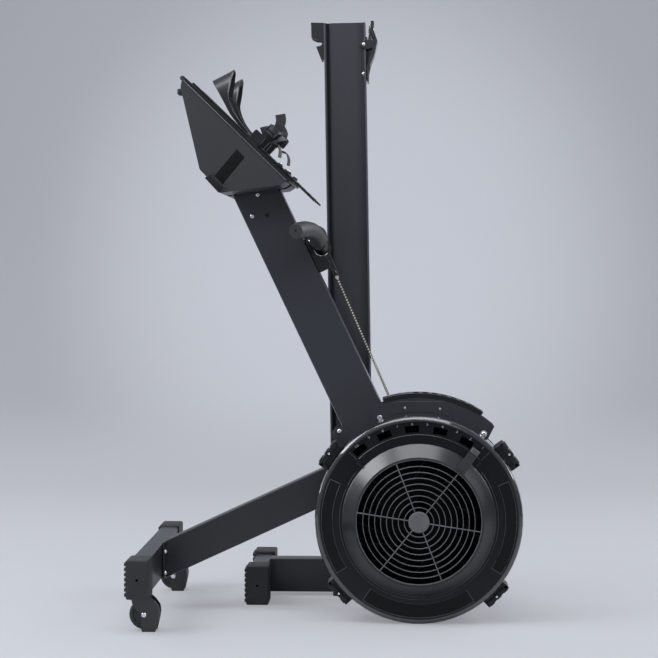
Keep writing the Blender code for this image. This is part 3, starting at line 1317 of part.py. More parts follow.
def make_seat(plastic, steel, cushion):
    middle = SEAT_BOTTOM + SEAT_LENGTH / 2
    low, high = middle - CARRIAGE_LENGTH / 2, middle + CARRIAGE_LENGTH / 2
    top = SEAT_STAND - GAP

    def block(start, end, inner, outer, y_low, y_high):
        corners = [seat_point(start, inner), seat_point(end, inner)]
        corners += [seat_point(end, outer), seat_point(start, outer)]
        return prism(corners, RAIL_Y + y_low, RAIL_Y + y_high)

    deck = block(low, high, top - CARRIAGE_WALL, top, -CARRIAGE_HALF, CARRIAGE_HALF)
    carriage = node("seat_carriage", deck, steel)
    for sign in (-1, 1):
        y_low, y_high = sorted((sign * CARRIAGE_HALF, sign * (CARRIAGE_HALF - CARRIAGE_WALL)))
        join(carriage, block(low, high, -CARRIAGE_DROP, top - 0.001, y_low, y_high))
        y_low, y_high = sorted((sign * (CARRIAGE_HALF - 0.001), sign * (RAIL_NECK + SLIDE_GAP)))
        under = RAIL_STEPS[2] - RAIL_DEPTH - SLIDE_GAP
        join(carriage, block(low, high, under - CARRIAGE_LIP, under, y_low, y_high))
    for word, offset in (("lower", -ROLLER_SPAN / 2), ("upper", ROLLER_SPAN / 2)):
        centre = seat_point(middle + offset, ROLLER_RADIUS + GAP)
        cut(carriage, pin(ROLLER_PIN + GAP, centre, RAIL_Y - RAIL_WIDTH, RAIL_Y + RAIL_WIDTH))
        end = CARRIAGE_HALF
        collar = ROLLER_HALF + 0.003
        profile = [
            (0.0, -end), (ROLLER_PIN, -end), (ROLLER_PIN, -collar), (0.009, -collar),
            (0.009, -ROLLER_HALF), (ROLLER_RADIUS - 0.001, -ROLLER_HALF),
            (ROLLER_RADIUS, -ROLLER_HALF + 0.001), (ROLLER_RADIUS, ROLLER_HALF - 0.001),
            (ROLLER_RADIUS - 0.001, ROLLER_HALF),
            (0.009, ROLLER_HALF), (0.009, collar), (ROLLER_PIN, collar), (ROLLER_PIN, end), (0.0, end),
        ]
        wheel = turned([(r, RAIL_Y + y) for r, y in profile], centre, 16)
        node(f"seat_roller_{word}", wheel, plastic, smooth=30)

    sides = 32
    rings = []
    for lift, scale in SEAT_PAD_LAYERS:
        ring = []
        for k in range(sides):
            angle = math.tau * k / sides
            c, s = math.cos(angle), math.sin(angle)
            run = SEAT_LENGTH / 2 * scale * math.copysign(abs(c) ** 0.62, c)
            across = SEAT_WIDTH / 2 * scale * math.copysign(abs(s) ** 0.62, s)
            waist = SEAT_NOTCH * scale * math.exp(-(across / SEAT_NOTCH_HALF) ** 2) * max(-c, 0.0)
            x, z = seat_point(middle + run + waist, SEAT_STAND + SEAT_PAD_THICKNESS * lift)
            ring.append((x, RAIL_Y + across, z))
        rings.append(ring)
    node("seat_pad", swept(rings), cushion, smooth=60)


def pivot(name, point):
    """Moves a piece's origin onto its joint axis."""
    piece = bpy.data.objects[name]
    move = Matrix.Translation(Vector(point))
    piece.data.transform(move.inverted())
    piece.matrix_world = move @ piece.matrix_world


def place_origins():
    """Gives each moving piece an origin on its own axis or line of travel."""
    axle = (AXLE[0], 0.0, AXLE[1])
    for name in ("fan_wheel", "fan_axle", "drive_sprocket", "damper_dial", "fan_grille"):
        pivot(name, axle)
    roller = guide_roller_centre()
    pivot("guide_roller", (roller[0], 0.0, roller[1]))
    pulley = beam_point(PULLEY_AT)
    pivot("return_pulley", (pulley[0], 0.0, pulley[1]))
    for name in ("handle_bar", "grip_near", "grip_far", "handle_shackle", "chain_run"):
        pivot(name, (HANDLE_CENTRE[0], 0.0, HANDLE_CENTRE[1]))
    for word, side in (("near", -1), ("far", 1)):
        pivot(f"caster_wheel_{word}", (CASTER_X, side * CASTER_Y, CASTER_Z))
        x, z = board_point(FOOT_PLATE_START, BOARD_THICKNESS)
        for name in ("foot_plate", "heel_cup"):
            pivot(f"{name}_{word}", (x, side * FOOT_CENTRE_Y, z))
    x, z = from_rail_top(LOCK_PIVOT)
    pivot("lock_lever", (x, RAIL_Y, z))
    middle = SEAT_BOTTOM + SEAT_LENGTH / 2
    x, z = seat_point(middle, 0.0)
    for name in ("seat_carriage", "seat_pad"):
        pivot(name, (x, RAIL_Y, z))
    for word, offset in (("lower", -ROLLER_SPAN / 2), ("upper", ROLLER_SPAN / 2)):
        x, z = seat_point(middle + offset, ROLLER_RADIUS + GAP)
        pivot(f"seat_roller_{word}", (x, RAIL_Y, z))


def move_to_floor_centre():
    """Puts the world origin under the middle of the whole machine, on the floor."""
    bpy.context.view_layer.update()
    pieces = [thing for thing in bpy.context.scene.objects if thing.type == "MESH"]
    corners = []
    for piece in pieces:
        corners += [piece.matrix_world @ vertex.co for vertex in piece.data.vertices]
    spread = np.array(corners)
    low, high = spread.min(axis=0), spread.max(axis=0)
    shift = Vector((-(low[0] + high[0]) / 2, -(low[1] + high[1]) / 2, -low[2]))
    for piece in pieces:
        piece.location += shift


def main():
    clear_scene()
    frame_paint = finish("frame_paint", (0.033, 0.036, 0.044), 0.38)
    leg_paint = finish("leg_paint", (0.024, 0.025, 0.028), 0.40)
    rail_paint = finish("rail_anodised", (0.045, 0.048, 0.055), 0.32, 0.6)
    drum_plastic = finish("drum_plastic", (0.012, 0.012, 0.013), 0.28)
    grey_plastic = finish("grille_plastic", (0.11, 0.11, 0.115), 0.45)
    panel_plastic = finish("panel_plastic", (0.055, 0.055, 0.057), 0.62)
    black_plastic = finish("black_plastic", (0.015, 0.015, 0.016), 0.45)
    rubber = finish("rubber", (0.025, 0.026, 0.028), 0.65)
    webbing = finish("webbing", (0.012, 0.012, 0.012), 0.85)
    chain_steel = finish("chain_steel", (0.55, 0.50, 0.42), 0.30, 1.0)
    zinc = finish("zinc_steel", (0.60, 0.61, 0.62), 0.32, 1.0)
    cushion = finish("seat_foam", (0.018, 0.018, 0.019), 0.70)

    make_main_beam(frame_paint)
    make_front_leg(leg_paint)
    make_foot("front_foot", FRONT_FOOT_X, FRONT_FOOT_Z, 0.0, FRONT_FOOT_LENGTH, CAP_WALLS, leg_paint, rubber)
    for word, side in (("near", -1), ("far", 1)):
        make_caster(word, side, zinc, rubber)
        make_frame_plate(word, side, frame_paint)
    make_chain_guard(black_plastic)
    make_fan_covers(drum_plastic)
    make_rim_clips(drum_plastic)
    make_damper(drum_plastic, grey_plastic)
    make_fan(grey_plastic, zinc)
    make_sprocket(zinc)
    make_chain(chain_steel)
    make_rollers_and_cord(black_plastic, webbing)
    make_handle(black_plastic, rubber, zinc)
    make_handle_holder(black_plastic)
    make_footrest(panel_plastic, black_plastic, rubber, webbing)
    make_foot(
        "rear_foot", REAR_FOOT_X, REAR_FOOT_Z, RAIL_Y, REAR_FOOT_LENGTH, REAR_CAP_WALLS, rail_paint, rubber,
    )
    make_rear_leg(rail_paint)
    make_rail(rail_paint, rubber, zinc)
    make_seat(black_plastic, zinc, cushion)
    place_origins()
    move_to_floor_centre()


if __name__ == "__main__":
    main()
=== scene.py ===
"""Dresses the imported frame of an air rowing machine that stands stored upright."""

import math

import bmesh
import bpy
from bpy.props import FloatProperty, FloatVectorProperty, IntProperty, PointerProperty
from bpy.types import Operator, Panel, PropertyGroup
from mathutils import Matrix, Vector
from mathutils.bvhtree import BVHTree


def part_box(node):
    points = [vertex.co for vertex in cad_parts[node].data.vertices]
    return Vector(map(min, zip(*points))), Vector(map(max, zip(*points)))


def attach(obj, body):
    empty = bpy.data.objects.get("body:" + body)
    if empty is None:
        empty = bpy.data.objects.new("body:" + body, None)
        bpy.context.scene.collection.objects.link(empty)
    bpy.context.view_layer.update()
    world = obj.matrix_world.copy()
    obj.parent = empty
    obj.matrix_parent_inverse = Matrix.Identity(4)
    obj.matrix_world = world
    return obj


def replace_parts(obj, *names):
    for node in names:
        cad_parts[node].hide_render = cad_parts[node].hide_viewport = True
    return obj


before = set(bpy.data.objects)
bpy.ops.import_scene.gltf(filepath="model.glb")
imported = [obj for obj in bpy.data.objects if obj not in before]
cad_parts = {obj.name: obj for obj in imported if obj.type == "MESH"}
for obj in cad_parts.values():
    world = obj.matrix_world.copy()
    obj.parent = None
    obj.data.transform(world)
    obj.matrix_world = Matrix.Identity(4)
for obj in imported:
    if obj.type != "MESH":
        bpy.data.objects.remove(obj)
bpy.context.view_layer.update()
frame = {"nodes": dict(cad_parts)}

bl_info = {
    "name": "Air rowing machine",
    "version": (1, 0, 0),
    "blender": (4, 5, 0),
    "location": "3D View > Sidebar > Rower",
    "description": "Dresses the packed frame of a stored air rowing machine",
    "category": "Object",
}


def middle_of(node):
    """The middle of a CAD node's box."""
    low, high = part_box(node)
    return (low + high) / 2


# Places are X from the fan axle, Y from the beam's mid plane and Z from the floor
AXLE_X = middle_of("fan_axle").x
AXLE_Z = middle_of("fan_axle").z
MID_Y = middle_of("main_beam").y

# The fan housing: the nearest Y of its cover and of its grille, its radii and its raised beads, and
# each recessed field of the cover by its first angle, last angle and inner radius
COVER_FACE_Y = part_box("fan_cover")[0].y - MID_Y
DIAL_FRONT_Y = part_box("fan_grille")[0].y - MID_Y
DRUM_RADIUS = 0.2256
FIELD_OUTER = 0.2096
COVER_FIELDS = ((155.0, 213.0, 0.186), (-33.0, 24.0, 0.186), (235.0, 304.5, 0.18))
BEAD_OUTER = 0.2106
BEAD_RADIUS = 0.0006
BEAD_Y = COVER_FACE_Y - 0.0001

# The guard's rings in the dial's opening, from the inner one out
RING_FIRST = 0.0317
RING_PITCH = 0.01267
RINGS = 8
GUARD_OPENING = 0.136
HUB_RADIUS = 0.0229

# The damper: its lever's angle, and its scale's radius, first angle and sweep
LEVER_ANGLE = 51.4
SCALE_RADIUS = 0.2095
SCALE_START = 49.0
SCALE_SWEEP = 81.0

# X and Z of the pulled chain at the handle and at its guard, and how far down its first pin is
CHAIN_TOP = (-0.1858, 0.7569)
CHAIN_MOUTH = (-0.0654, 0.4817)
FIRST_PIN = 0.0062

# X and Z of the beam's upper end and of two points on the face that carries the handle
BEAM_END = (-0.37155, 0.95984)
BEAM_FACE_TOP = (-0.2931, 0.9148)
BEAM_FACE_LOW = (-0.0814, 0.4666)

# X and Z of the footboard's underside at both ends, and places for the feet and straps on it
BOARD_TOP = (-0.5101, 1.1751)
BOARD_END = (-0.2838, 0.9559)
FOOT_Y = middle_of("foot_plate_far").y - MID_Y
PLATE_TOP = 0.0126
STRAP_RUN = 0.203
STRAP_BASE = 0.035

# The seat rail: its lean in degrees, its left face at the floor, its depth and the seat's stand on it
RAIL_MID_Y = middle_of("seat_rail").y - MID_Y
RAIL_LEAN = 0.95
RAIL_FOOT_X = -0.1981
RAIL_DEPTH = 0.097
SEAT_STAND = 0.046

# The camera that was fitted to the photo: in metres, millimetres and degrees
CAMERA_SPOT = (0.16337, -4.1, 0.76212)
CAMERA_LENS = 99.56
CAMERA_DOWN = 1.8062
CAMERA_YAW = 2.3527

RIGHT = Vector((1.0, 0.0, 0.0))
UP = Vector((0.0, 0.0, 1.0))
NEAR = Vector((0.0, -1.0, 0.0))
FAR = Vector((0.0, 1.0, 0.0))
SIDES = (("near", NEAR), ("far", FAR))


def place(x, y, z):
    """A point given from the axle, the beam's mid plane and the floor."""
    return Vector((AXLE_X + x, MID_Y + y, z))


def round_axle(radius, degrees, y):
    """A point at a radius and an angle from the fan axle."""
    angle = math.radians(degrees)
    return place(radius * math.cos(angle), y, AXLE_Z + radius * math.sin(angle))


def spoke(degrees):
    """The unit vector away from the fan axle at an angle."""
    angle = math.radians(degrees)
    return Vector((math.cos(angle), 0.0, math.sin(angle)))


def straight(start, end):
    """The unit vector from one X and Z point to another, as a vector in space."""
    return Vector((end[0] - start[0], 0.0, end[1] - start[1])).normalized()


BOARD_RUN = straight(BOARD_TOP, BOARD_END)
BOARD_OUT = Vector((-BOARD_RUN.z, 0.0, BOARD_RUN.x))
CHAIN_DOWN = straight(CHAIN_TOP, CHAIN_MOUTH)
RAIL_UP = Vector((-math.sin(math.radians(RAIL_LEAN)), 0.0, math.cos(math.radians(RAIL_LEAN))))
RAIL_RIGHT = Vector((RAIL_UP.z, 0.0, -RAIL_UP.x))


def on_board(run, out, y):
    """A point along the footboard from its heel end, out from its underside."""
    return place(BOARD_TOP[0], y, BOARD_TOP[1]) + BOARD_RUN * run + BOARD_OUT * out


def on_rail(height, side, y=0.0):
    """A point along the seat rail from the floor, to the right of its left face."""
    return place(RAIL_FOOT_X, RAIL_MID_Y + y, 0.0) + RAIL_UP * height + RAIL_RIGHT * side


SKINS = {}


def seated(nodes, point, facing):
    """Where the outermost of these CAD nodes is met on the line through a point, from the side it faces."""
    found = []
    for name in nodes:
        if name not in SKINS:
            mesh = frame["nodes"][name].data
            corners = [v.co.copy() for v in mesh.vertices]
            SKINS[name] = BVHTree.FromPolygons(corners, [tuple(p.vertices) for p in mesh.polygons])
        hit = SKINS[name].ray_cast(point + facing * 0.5, -facing, 0.7)[0]
        if hit:
            found.append(hit)
    if not found:
        raise RuntimeError(f"nothing carries the piece at {tuple(point)} on {nodes}")
    return max(found, key=lambda hit: hit.dot(facing))


def colour_value(name, description, default):
    return FloatVectorProperty(
        name=name, description=description, subtype="COLOR", size=3, min=0.0, max=1.0, default=default)


def length_value(name, description, default, least, most):
    return FloatProperty(
        name=name, description=description, unit="LENGTH", default=default, min=least, max=most)


class RowerColours(PropertyGroup):
    """The colours of the machine's finishes, in linear light."""

    frame: colour_value("Beam paint", "Powder coat on the main beam", (0.019, 0.0215, 0.029))
    leg: colour_value("Leg paint", "Powder coat on the legs and feet", (0.0115, 0.0118, 0.014))
    rail: colour_value("Rail", "Anodised seat rail", (0.03, 0.032, 0.04))
    drum: colour_value("Fan housing", "Moulded fan covers", (0.005, 0.0052, 0.0062))
    grille: colour_value("Grille", "Fan guard and hub disc", (0.11, 0.112, 0.12))
    panel: colour_value("Footrest panel", "Grained sides of the footrest", (0.021, 0.0208, 0.0225))
    rubber: colour_value("Rubber", "Foot caps and caster wheels", (0.017, 0.0175, 0.019))
    chain: colour_value("Chain pins", "Plated pins of the roller chain", (0.8, 0.74, 0.63))
    backdrop: colour_value("Backdrop", "Pale backdrop", (0.515, 0.53, 0.578))


class RowerSizes(PropertyGroup):
    """The sizes of the machine's added pieces."""

    chain_pitch: length_value("Chain pitch", "From one chain pin to the next", 0.00635, 0.004, 0.0127)
    strap_width: length_value("Strap width", "Width of the toe strap's webbing", 0.026, 0.015, 0.05)
    strap_thickness: length_value(
        "Strap thickness", "Thickness of the toe strap's webbing", 0.0022, 0.001, 0.004)
    bolt_radius: length_value("Bolt head", "Radius of the frame's bolt heads", 0.0052, 0.003, 0.012)
    number_height: length_value(
        "Number height", "Height of the damper scale's figures", 0.0068, 0.003, 0.012)
    damper_steps: IntProperty(
        name="Damper steps", description="Figures on the damper scale", default=10, min=2, max=12)


def sizes():
    return bpy.context.scene.rower_sizes


class Wire:
    """A shader socket; an expression on wires and numbers adds the Math nodes that work it out."""

    def __init__(self, finish, socket):
        self.finish = finish
        self.socket = socket

    def math(self, operation, *values):
        return self.finish.add("ShaderNodeMath", {"operation": operation}, dict(enumerate(values)))

    def __add__(self, other):
        return self.math("ADD", self, other)

    __radd__ = __add__

    def __sub__(self, other):
        return self.math("SUBTRACT", self, other)

    def __rsub__(self, other):
        return self.math("SUBTRACT", other, self)

    def __mul__(self, other):
        return self.math("MULTIPLY", self, other)

    def __pow__(self, other):
        return self.math("POWER", self, other)

    def sine(self):
        return self.math("SINE", self)

    def within(self, low, high):
        """0 at the low value and 1 at the high one, smooth between them."""
        settings = {"interpolation_type": "SMOOTHSTEP"}
        return self.finish.add("ShaderNodeMapRange", settings, {0: self, 1: low, 2: high})


class Finish:
    """A material or a world under construction. Every node in it comes from add()."""

    def __init__(self, name, kind="materials"):
        self.material = getattr(bpy.data, kind).new(name)
        self.material.use_nodes = True
        self.tree = self.material.node_tree
        self.tree.nodes.clear()

    def add(self, kind, settings=None, values=None, output=0):
        made = self.tree.nodes.new(kind)
        for name, value in (settings or {}).items():
            setattr(made, name, value)
        for name, value in (values or {}).items():
            if isinstance(value, Wire):
                self.tree.links.new(value.socket, made.inputs[name])
            else:
                made.inputs[name].default_value = value
        return Wire(self, made.outputs[output]) if len(made.outputs) else None

    def place_on_it(self):
        """The point on the object in metres."""
        return self.add("ShaderNodeTexCoord", output="Object")

    def part(self, vector, axis):
        """One value of a vector: 0 to the right, 1 away from the camera, 2 up."""
        return self.add("ShaderNodeSeparateXYZ", None, {0: vector}, axis)

    def scaled(self, vector, factors):
        values = {0: vector, 1: factors}
        return self.add("ShaderNodeVectorMath", {"operation": "MULTIPLY"}, values)

    def noise(self, vector, scale, detail=2.0, roughness=0.5):
        values = {"Vector": vector, "Scale": scale, "Detail": detail, "Roughness": roughness}
        return self.add("ShaderNodeTexNoise", None, values)

    def cells(self, vector, scale):
        values = {"Vector": vector, "Scale": scale}
        return self.add("ShaderNodeTexVoronoi", {"feature": "SMOOTH_F1"}, values)

    def ray(self, kind):
        """1 for a ray of this kind and 0 for any other."""
        return self.add("ShaderNodeLightPath", output=f"Is {kind} Ray")

    def blend(self, factor, first, second):
        """A colour between two others."""
        values = {0: factor, 6: first, 7: second}
        return self.add("ShaderNodeMix", {"data_type": "RGBA"}, values, 2)

    def bump(self, height, strength, distance):
        values = {"Height": height, "Strength": strength, "Distance": distance}
        return self.add("ShaderNodeBump", None, values)

    def end(self, colour, roughness, normal=None, **others):
        """Ends the material with its Principled shader; others holds its other sockets by name."""
        values = {"Base Color": colour, "Roughness": roughness}
        if normal is not None:
            values["Normal"] = normal
        for name, value in others.items():
            values[name.replace("_", " ").title().replace("Ior", "IOR")] = value
        shader = self.add("ShaderNodeBsdfPrincipled", None, values)
        self.add("ShaderNodeOutputMaterial", None, {"Surface": shader})
        return self.material


BLACK = (0.0, 0.0, 0.0)
FLOOR_TONE = (0.455, 0.466, 0.495)


def rgba(colour, factor=1.0):
    """A colour for a socket, lighter or darker by a factor."""
    return (*(min(c * factor, 1.0) for c in colour), 1.0)


def mottled(name, colour, cloud, grain, span, shades, gloss, relief, **others):
    """A finish with a soft cloud in colour and gloss, and a fine grain in gloss and relief.

    cloud and grain are noises, span is the part of the cloud that counts, shades are the colour's
    factors at its ends, gloss is a base and the shares of cloud and grain, and relief is a bump.
    """
    f = Finish(name)
    spot = f.place_on_it()
    soft = f.noise(spot, *cloud)
    fine = f.noise(spot, *grain)
    tone = f.blend(soft.within(*span), rgba(colour, shades[0]), rgba(colour, shades[1]))
    roughness = gloss[0] + soft * gloss[1] + fine * gloss[2]
    return f.end(tone, roughness, f.bump(fine, *relief), **others)


def powder_coat(name, colour, roughness=0.36, coat=0.4):
    """Satin powder coat: a fine orange peel, and a faint mottle in colour and gloss."""
    return mottled(
        name, colour, (9.0, 3.0), (1100.0, 1.0), (0.35, 0.65), (0.93, 1.08),
        (roughness - 0.05, 0.06, 0.05), (0.16, 0.0002), coat_weight=coat, coat_roughness=0.08)


def moulded(name, colour, roughness, grain=1500.0, depth=0.18, coat=0.0, shine=0.5):
    """Moulded plastic with a spark grain and slight flow marks."""
    return mottled(
        name, colour, (14.0, 3.0, 0.6), (grain, 1.0), (0.3, 0.7), (0.88, 1.12),
        (roughness - 0.06, 0.1, 0.04), (depth, 0.00015), coat_weight=coat, coat_roughness=0.08,
        specular_ior_level=shine)


def soft_rubber(name, colour, roughness):
    """Moulded rubber with a dull bloom and fine pits."""
    return mottled(
        name, colour, (22.0, 4.0, 0.6), (900.0, 2.0), (0.4, 0.75), (0.9, 1.22),
        (roughness - 0.05, 0.08, 0.03), (0.2, 0.0002))


def plated(name, colour, roughness, tint=0.7):
    """Plated steel with handling marks."""
    return mottled(
        name, colour, (45.0, 2.0), (2600.0, 1.0), (0.3, 0.75), (1.0, tint),
        (roughness, 0.1, 0.0), (0.05, 0.0001), metallic=1.0)


def anodised(name, colour):
    """The rail's metal: draw lines along it, painted highlights on the lips at its two sides, painted shade
    towards its right side and a painted shadow in the groove beside its left lip.
    """
    f = Finish(name)
    spot = f.place_on_it()
    lines = f.noise(f.scaled(spot, (900.0, 900.0, 2.2)), 1.0, 2.0)
    cloud = f.noise(spot, 5.0, 2.0)
    foot = place(RAIL_FOOT_X, 0.0, 0.0)
    side = (f.part(spot, 0) - foot.x) * RAIL_RIGHT.x + f.part(spot, 2) * RAIL_RIGHT.z
    # Painted shadow: the groove beside the left lip is darkened, and also made rougher with less coat
    groove = side.within(0.0042, 0.0052) * (1.0 - side.within(0.0115, 0.0135))
    # Painted highlight: the left lip is lightened
    lip = 1.0 - side.within(0.0012, 0.0032)
    # Painted shade: the face darkens towards the right side
    shade = side.within(0.07, 0.09) * 0.65
    # Painted highlight: the right lip is lightened
    rim = side.within(0.0925, 0.094) * (1.0 - side.within(0.0962, 0.0968))
    drawn = f.blend(lines, rgba(colour, 0.82), rgba(colour, 1.15))
    # The web's colour, with the painted shade and the right lip's painted highlight; then the groove's
    # painted shadow and the left lip's painted highlight
    web = f.blend(rim, f.blend(shade, drawn, rgba(colour, 0.25)), rgba(colour, 2.2))
    tone = f.blend(groove, f.blend(lip, web, rgba(colour, 3.0)), rgba(colour, 0.08))
    gloss = 0.3 + lines * 0.1 + cloud * 0.06 + groove * 0.4
    coat = (1.0 - groove) * 0.45
    return f.end(
        tone, gloss, f.bump(lines, 0.08, 0.0001), metallic=0.25, coat_weight=coat, coat_roughness=0.06)


def housing(name, colour):
    """Moulded housing: polished on the rolled rim, satin on the flat face."""
    f = Finish(name)
    spot = f.place_on_it()
    side = f.part(spot, 0) - AXLE_X
    rise = f.part(spot, 2) - AXLE_Z
    rim = ((side * side + rise * rise) ** 0.5).within(0.2135, 0.2165)
    flow = f.noise(spot, 14.0, 3.0, 0.6)
    fine = f.noise(spot, 900.0, 1.0)
    tone = f.blend(flow.within(0.3, 0.7), rgba(colour, 0.9), rgba(colour, 1.1))
    return f.end(
        tone, 0.26 + flow * 0.06, f.bump(fine, 0.03, 0.0001), coat_weight=rim * 0.97 + 0.03,
        coat_roughness=0.07, coat_ior=1.9, specular_ior_level=0.22)


def grained(name, colour, roughness):
    """Plastic or vinyl with a pebbled leather grain."""
    f = Finish(name)
    spot = f.place_on_it()
    pebble = f.cells(spot, 520.0)
    fine = f.noise(spot, 1700.0, 2.0)
    cloud = f.noise(spot, 11.0, 3.0)
    height = pebble * 0.7 + fine * 0.3
    tone = f.blend(height, rgba(colour, 1.12), rgba(colour, 0.86))
    gloss = (roughness - 0.04) + cloud * 0.08
    return f.end(tone, gloss, f.bump(height, 0.35, 0.0003), coat_weight=0.16, coat_roughness=0.16)


def woven(name, colour):
    """Strap webbing; its threads follow the piece's own weave coordinates, in metres."""
    f = Finish(name)
    values = f.add("ShaderNodeAttribute", {"attribute_name": "weave"}, output="Vector")
    warp = (f.part(values, 1) * 3900.0).sine()
    weft = (f.part(values, 0) * 2600.0).sine()
    fuzz = f.noise(f.place_on_it(), 1900.0, 2.0)
    height = warp * weft * 0.5 + fuzz * 0.5
    tone = f.blend(height.within(0.0, 0.8), rgba(colour, 0.7), rgba(colour, 1.5))
    return f.end(tone, 0.82 + fuzz * 0.12, f.bump(height, 0.5, 0.0003), sheen_weight=0.25)


def floor_paper(name, colour):
    """Studio paper: palest on the floor, with painted shade that darkens the backdrop away from the machine,
    a painted glow that lightens its shadows for the camera, and nothing where it ends.
    """
    f = Finish(name)
    spot = f.place_on_it()
    across = f.part(spot, 0)
    height = f.part(spot, 2)
    # Painted shade: the backdrop darkens away from a point behind the machine, as if light fell off
    aside = (across + 0.05) * (across + 0.05) + (height - 0.85) * (height - 0.85)
    painted_falloff_wall = f.blend(aside.within(0.02, 1.9), rgba(colour, 1.02), rgba(colour, 0.72))
    tone = f.blend(height.within(-0.05, 0.3), rgba(FLOOR_TONE), painted_falloff_wall)
    speck = f.noise(spot, 240.0, 2.0)
    near = f.part(spot, 1) * -1.0
    kept = (1.0 - near.within(0.6, 2.8)) * (1.0 - (across * across).within(3.0, 16.0))
    behind = f.add("ShaderNodeNewGeometry", output="Backfacing")
    seen = f.ray("Camera")
    # Painted light: the camera sees half the lit paper plus a glow in the paper's own tone, which lightens
    # the shadows on it
    lit = f.blend(seen, tone, f.blend(0.5, tone, rgba(BLACK)))
    glow = f.blend(seen * 0.55, rgba(BLACK), tone)
    return f.end(
        lit, 0.72 + speck * 0.08, alpha=kept * (1.0 - behind), emission_color=glow, emission_strength=1.0)


def studio_air(name, colour):
    """The world: a low even light, and a pale surround for the eye, for glass and for gloss."""
    f = Finish(name, "worlds")
    strength = 0.28 + (f.ray("Camera") + f.ray("Transmission")) * 0.34 + f.ray("Glossy") * 0.04
    light = f.add("ShaderNodeBackground", None, {"Color": rgba(colour), "Strength": strength})
    f.add("ShaderNodeOutputWorld", None, {"Surface": light})
    return f.material


FINISHES = {}


def finish(name):
    """Makes a finish the first time that it is asked for."""
    if name not in FINISHES:
        c = bpy.context.scene.rower_colours
        makers = {
            "beam_coat": (powder_coat, c.frame),
            "leg_coat": (powder_coat, c.leg, 0.42, 0.12),
            "black_steel": (powder_coat, (0.01, 0.0102, 0.0115), 0.3),
            "rail_anodising": (anodised, c.rail),
            "housing_plastic": (housing, c.drum),
            "guard_plastic": (moulded, c.grille, 0.48),
            "dark_plastic": (moulded, (0.0075, 0.0078, 0.009), 0.38, 1500.0, 0.18, 0.0, 0.36),
            "fan_plastic": (moulded, (0.0016, 0.0016, 0.0018), 0.62, 1500.0, 0.1, 0.0, 0.2),
            "inset_plastic": (moulded, (0.0022, 0.0022, 0.0028), 0.5, 1800.0, 0.2, 0.0, 0.22),
            "dial_plastic": (moulded, (0.005, 0.0058, 0.008), 0.29, 900.0, 0.03, 0.0, 0.8),
            "lip_plastic": (moulded, (0.012, 0.0125, 0.0145), 0.26, 1500.0, 0.05, 0.9),
            # Painted highlight: the cover's beads are a light grey, for the light that catches their edges
            "edge_plastic": (moulded, (0.06, 0.063, 0.072), 0.28, 1500.0, 0.05, 0.5),
            "heel_rubber": (moulded, (0.01, 0.0105, 0.0125), 0.34, 1200.0, 0.04, 0.12),
            "scale_ink": (moulded, (0.3, 0.31, 0.32), 0.5),
            "pointer_plastic": (moulded, (0.085, 0.088, 0.096), 0.3, 1500.0, 0.18, 0.3),
            "panel_grain": (grained, c.panel, 0.55),
            "seat_vinyl": (grained, (0.015, 0.015, 0.016), 0.58),
            "cap_rubber": (soft_rubber, c.rubber, 0.6),
            "grip_rubber": (soft_rubber, (0.025, 0.026, 0.0285), 0.5),
            "strap_webbing": (woven, (0.011, 0.011, 0.012)),
            "link_steel": (plated, (0.15, 0.136, 0.115), 0.34, 0.8),
            "chain_plating": (plated, c.chain, 0.3, 0.9),
            "zinc_plating": (plated, (0.86, 0.87, 0.89), 0.2, 0.9),
            "turned_steel": (plated, (0.5, 0.51, 0.53), 0.3),
            "studio_paper": (floor_paper, c.backdrop),
        }
        maker, *values = makers[name]
        FINISHES[name] = maker(name, *values)
    return FINISHES[name]


def piece(name, shape, material, smooth=None, body="front_frame"):
    """Turns a bmesh into a piece with its finish, which rides on its CAD body."""
    bmesh.ops.recalc_face_normals(shape, faces=shape.faces)
    mesh = bpy.data.meshes.new(name)
    shape.to_mesh(mesh)
    shape.free()
    mesh.materials.append(finish(material))
    if smooth is not None:
        mesh.shade_smooth()
        mesh.set_sharp_from_angle(angle=math.radians(smooth))
    made = bpy.data.objects.new(name, mesh)
    bpy.context.scene.collection.objects.link(made)
    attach(made, body)
    return made


def square_to(direction):
    """Two unit vectors square to a direction and to each other."""
    direction = direction.normalized()
    hint = UP if abs(direction.z) < 0.9 else RIGHT
    first = direction.cross(hint).normalized()
    return first, direction.cross(first)


def ring(shape, centre, axis, radius, sides, shape_of=None):
    """A ring of vertices round an axis; shape_of gives each angle's share of the radius."""
    u, v = square_to(axis)
    made = []
    for k in range(sides):
        angle = math.tau * k / sides
        reach = radius * (shape_of(angle) if shape_of else 1.0)
        made.append(shape.verts.new(centre + (u * math.cos(angle) + v * math.sin(angle)) * reach))
    return made


def join(shape, rings, closed=False):
    """Joins rings of vertices in turn with bands of faces; a closed row of rings has no ends to fill."""
    following = rings[1:] + (rings[:1] if closed else [])
    for first, second in zip(rings, following):
        for k in range(len(first)):
            n = (k + 1) % len(first)
            shape.faces.new((first[k], first[n], second[n], second[k]))
    if not closed:
        shape.faces.new(rings[0])
        shape.faces.new(rings[-1])


def lathe(shape, centre, axis, profile, sides=24, shape_of=None):
    """Revolves a profile of (radius, height) points; shape_of gives some of them another outline."""
    axis = axis.normalized()
    forms = shape_of or {}
    join(shape, [
        ring(shape, centre + axis * height, axis, radius, sides, forms.get(index))
        for index, (radius, height) in enumerate(profile)])


def hexagon(angle):
    """The reach of a hexagon's side, as a share of its corner radius."""
    return math.cos(math.pi / 6) / math.cos(angle % (math.pi / 3) - math.pi / 6)


def cross(angle):
    """The reach of a cross recess: long along its two arms and short between them."""
    off = abs((angle + math.pi / 4) % (math.pi / 2) - math.pi / 4)
    return 1.0 if off < 0.2 else 0.36


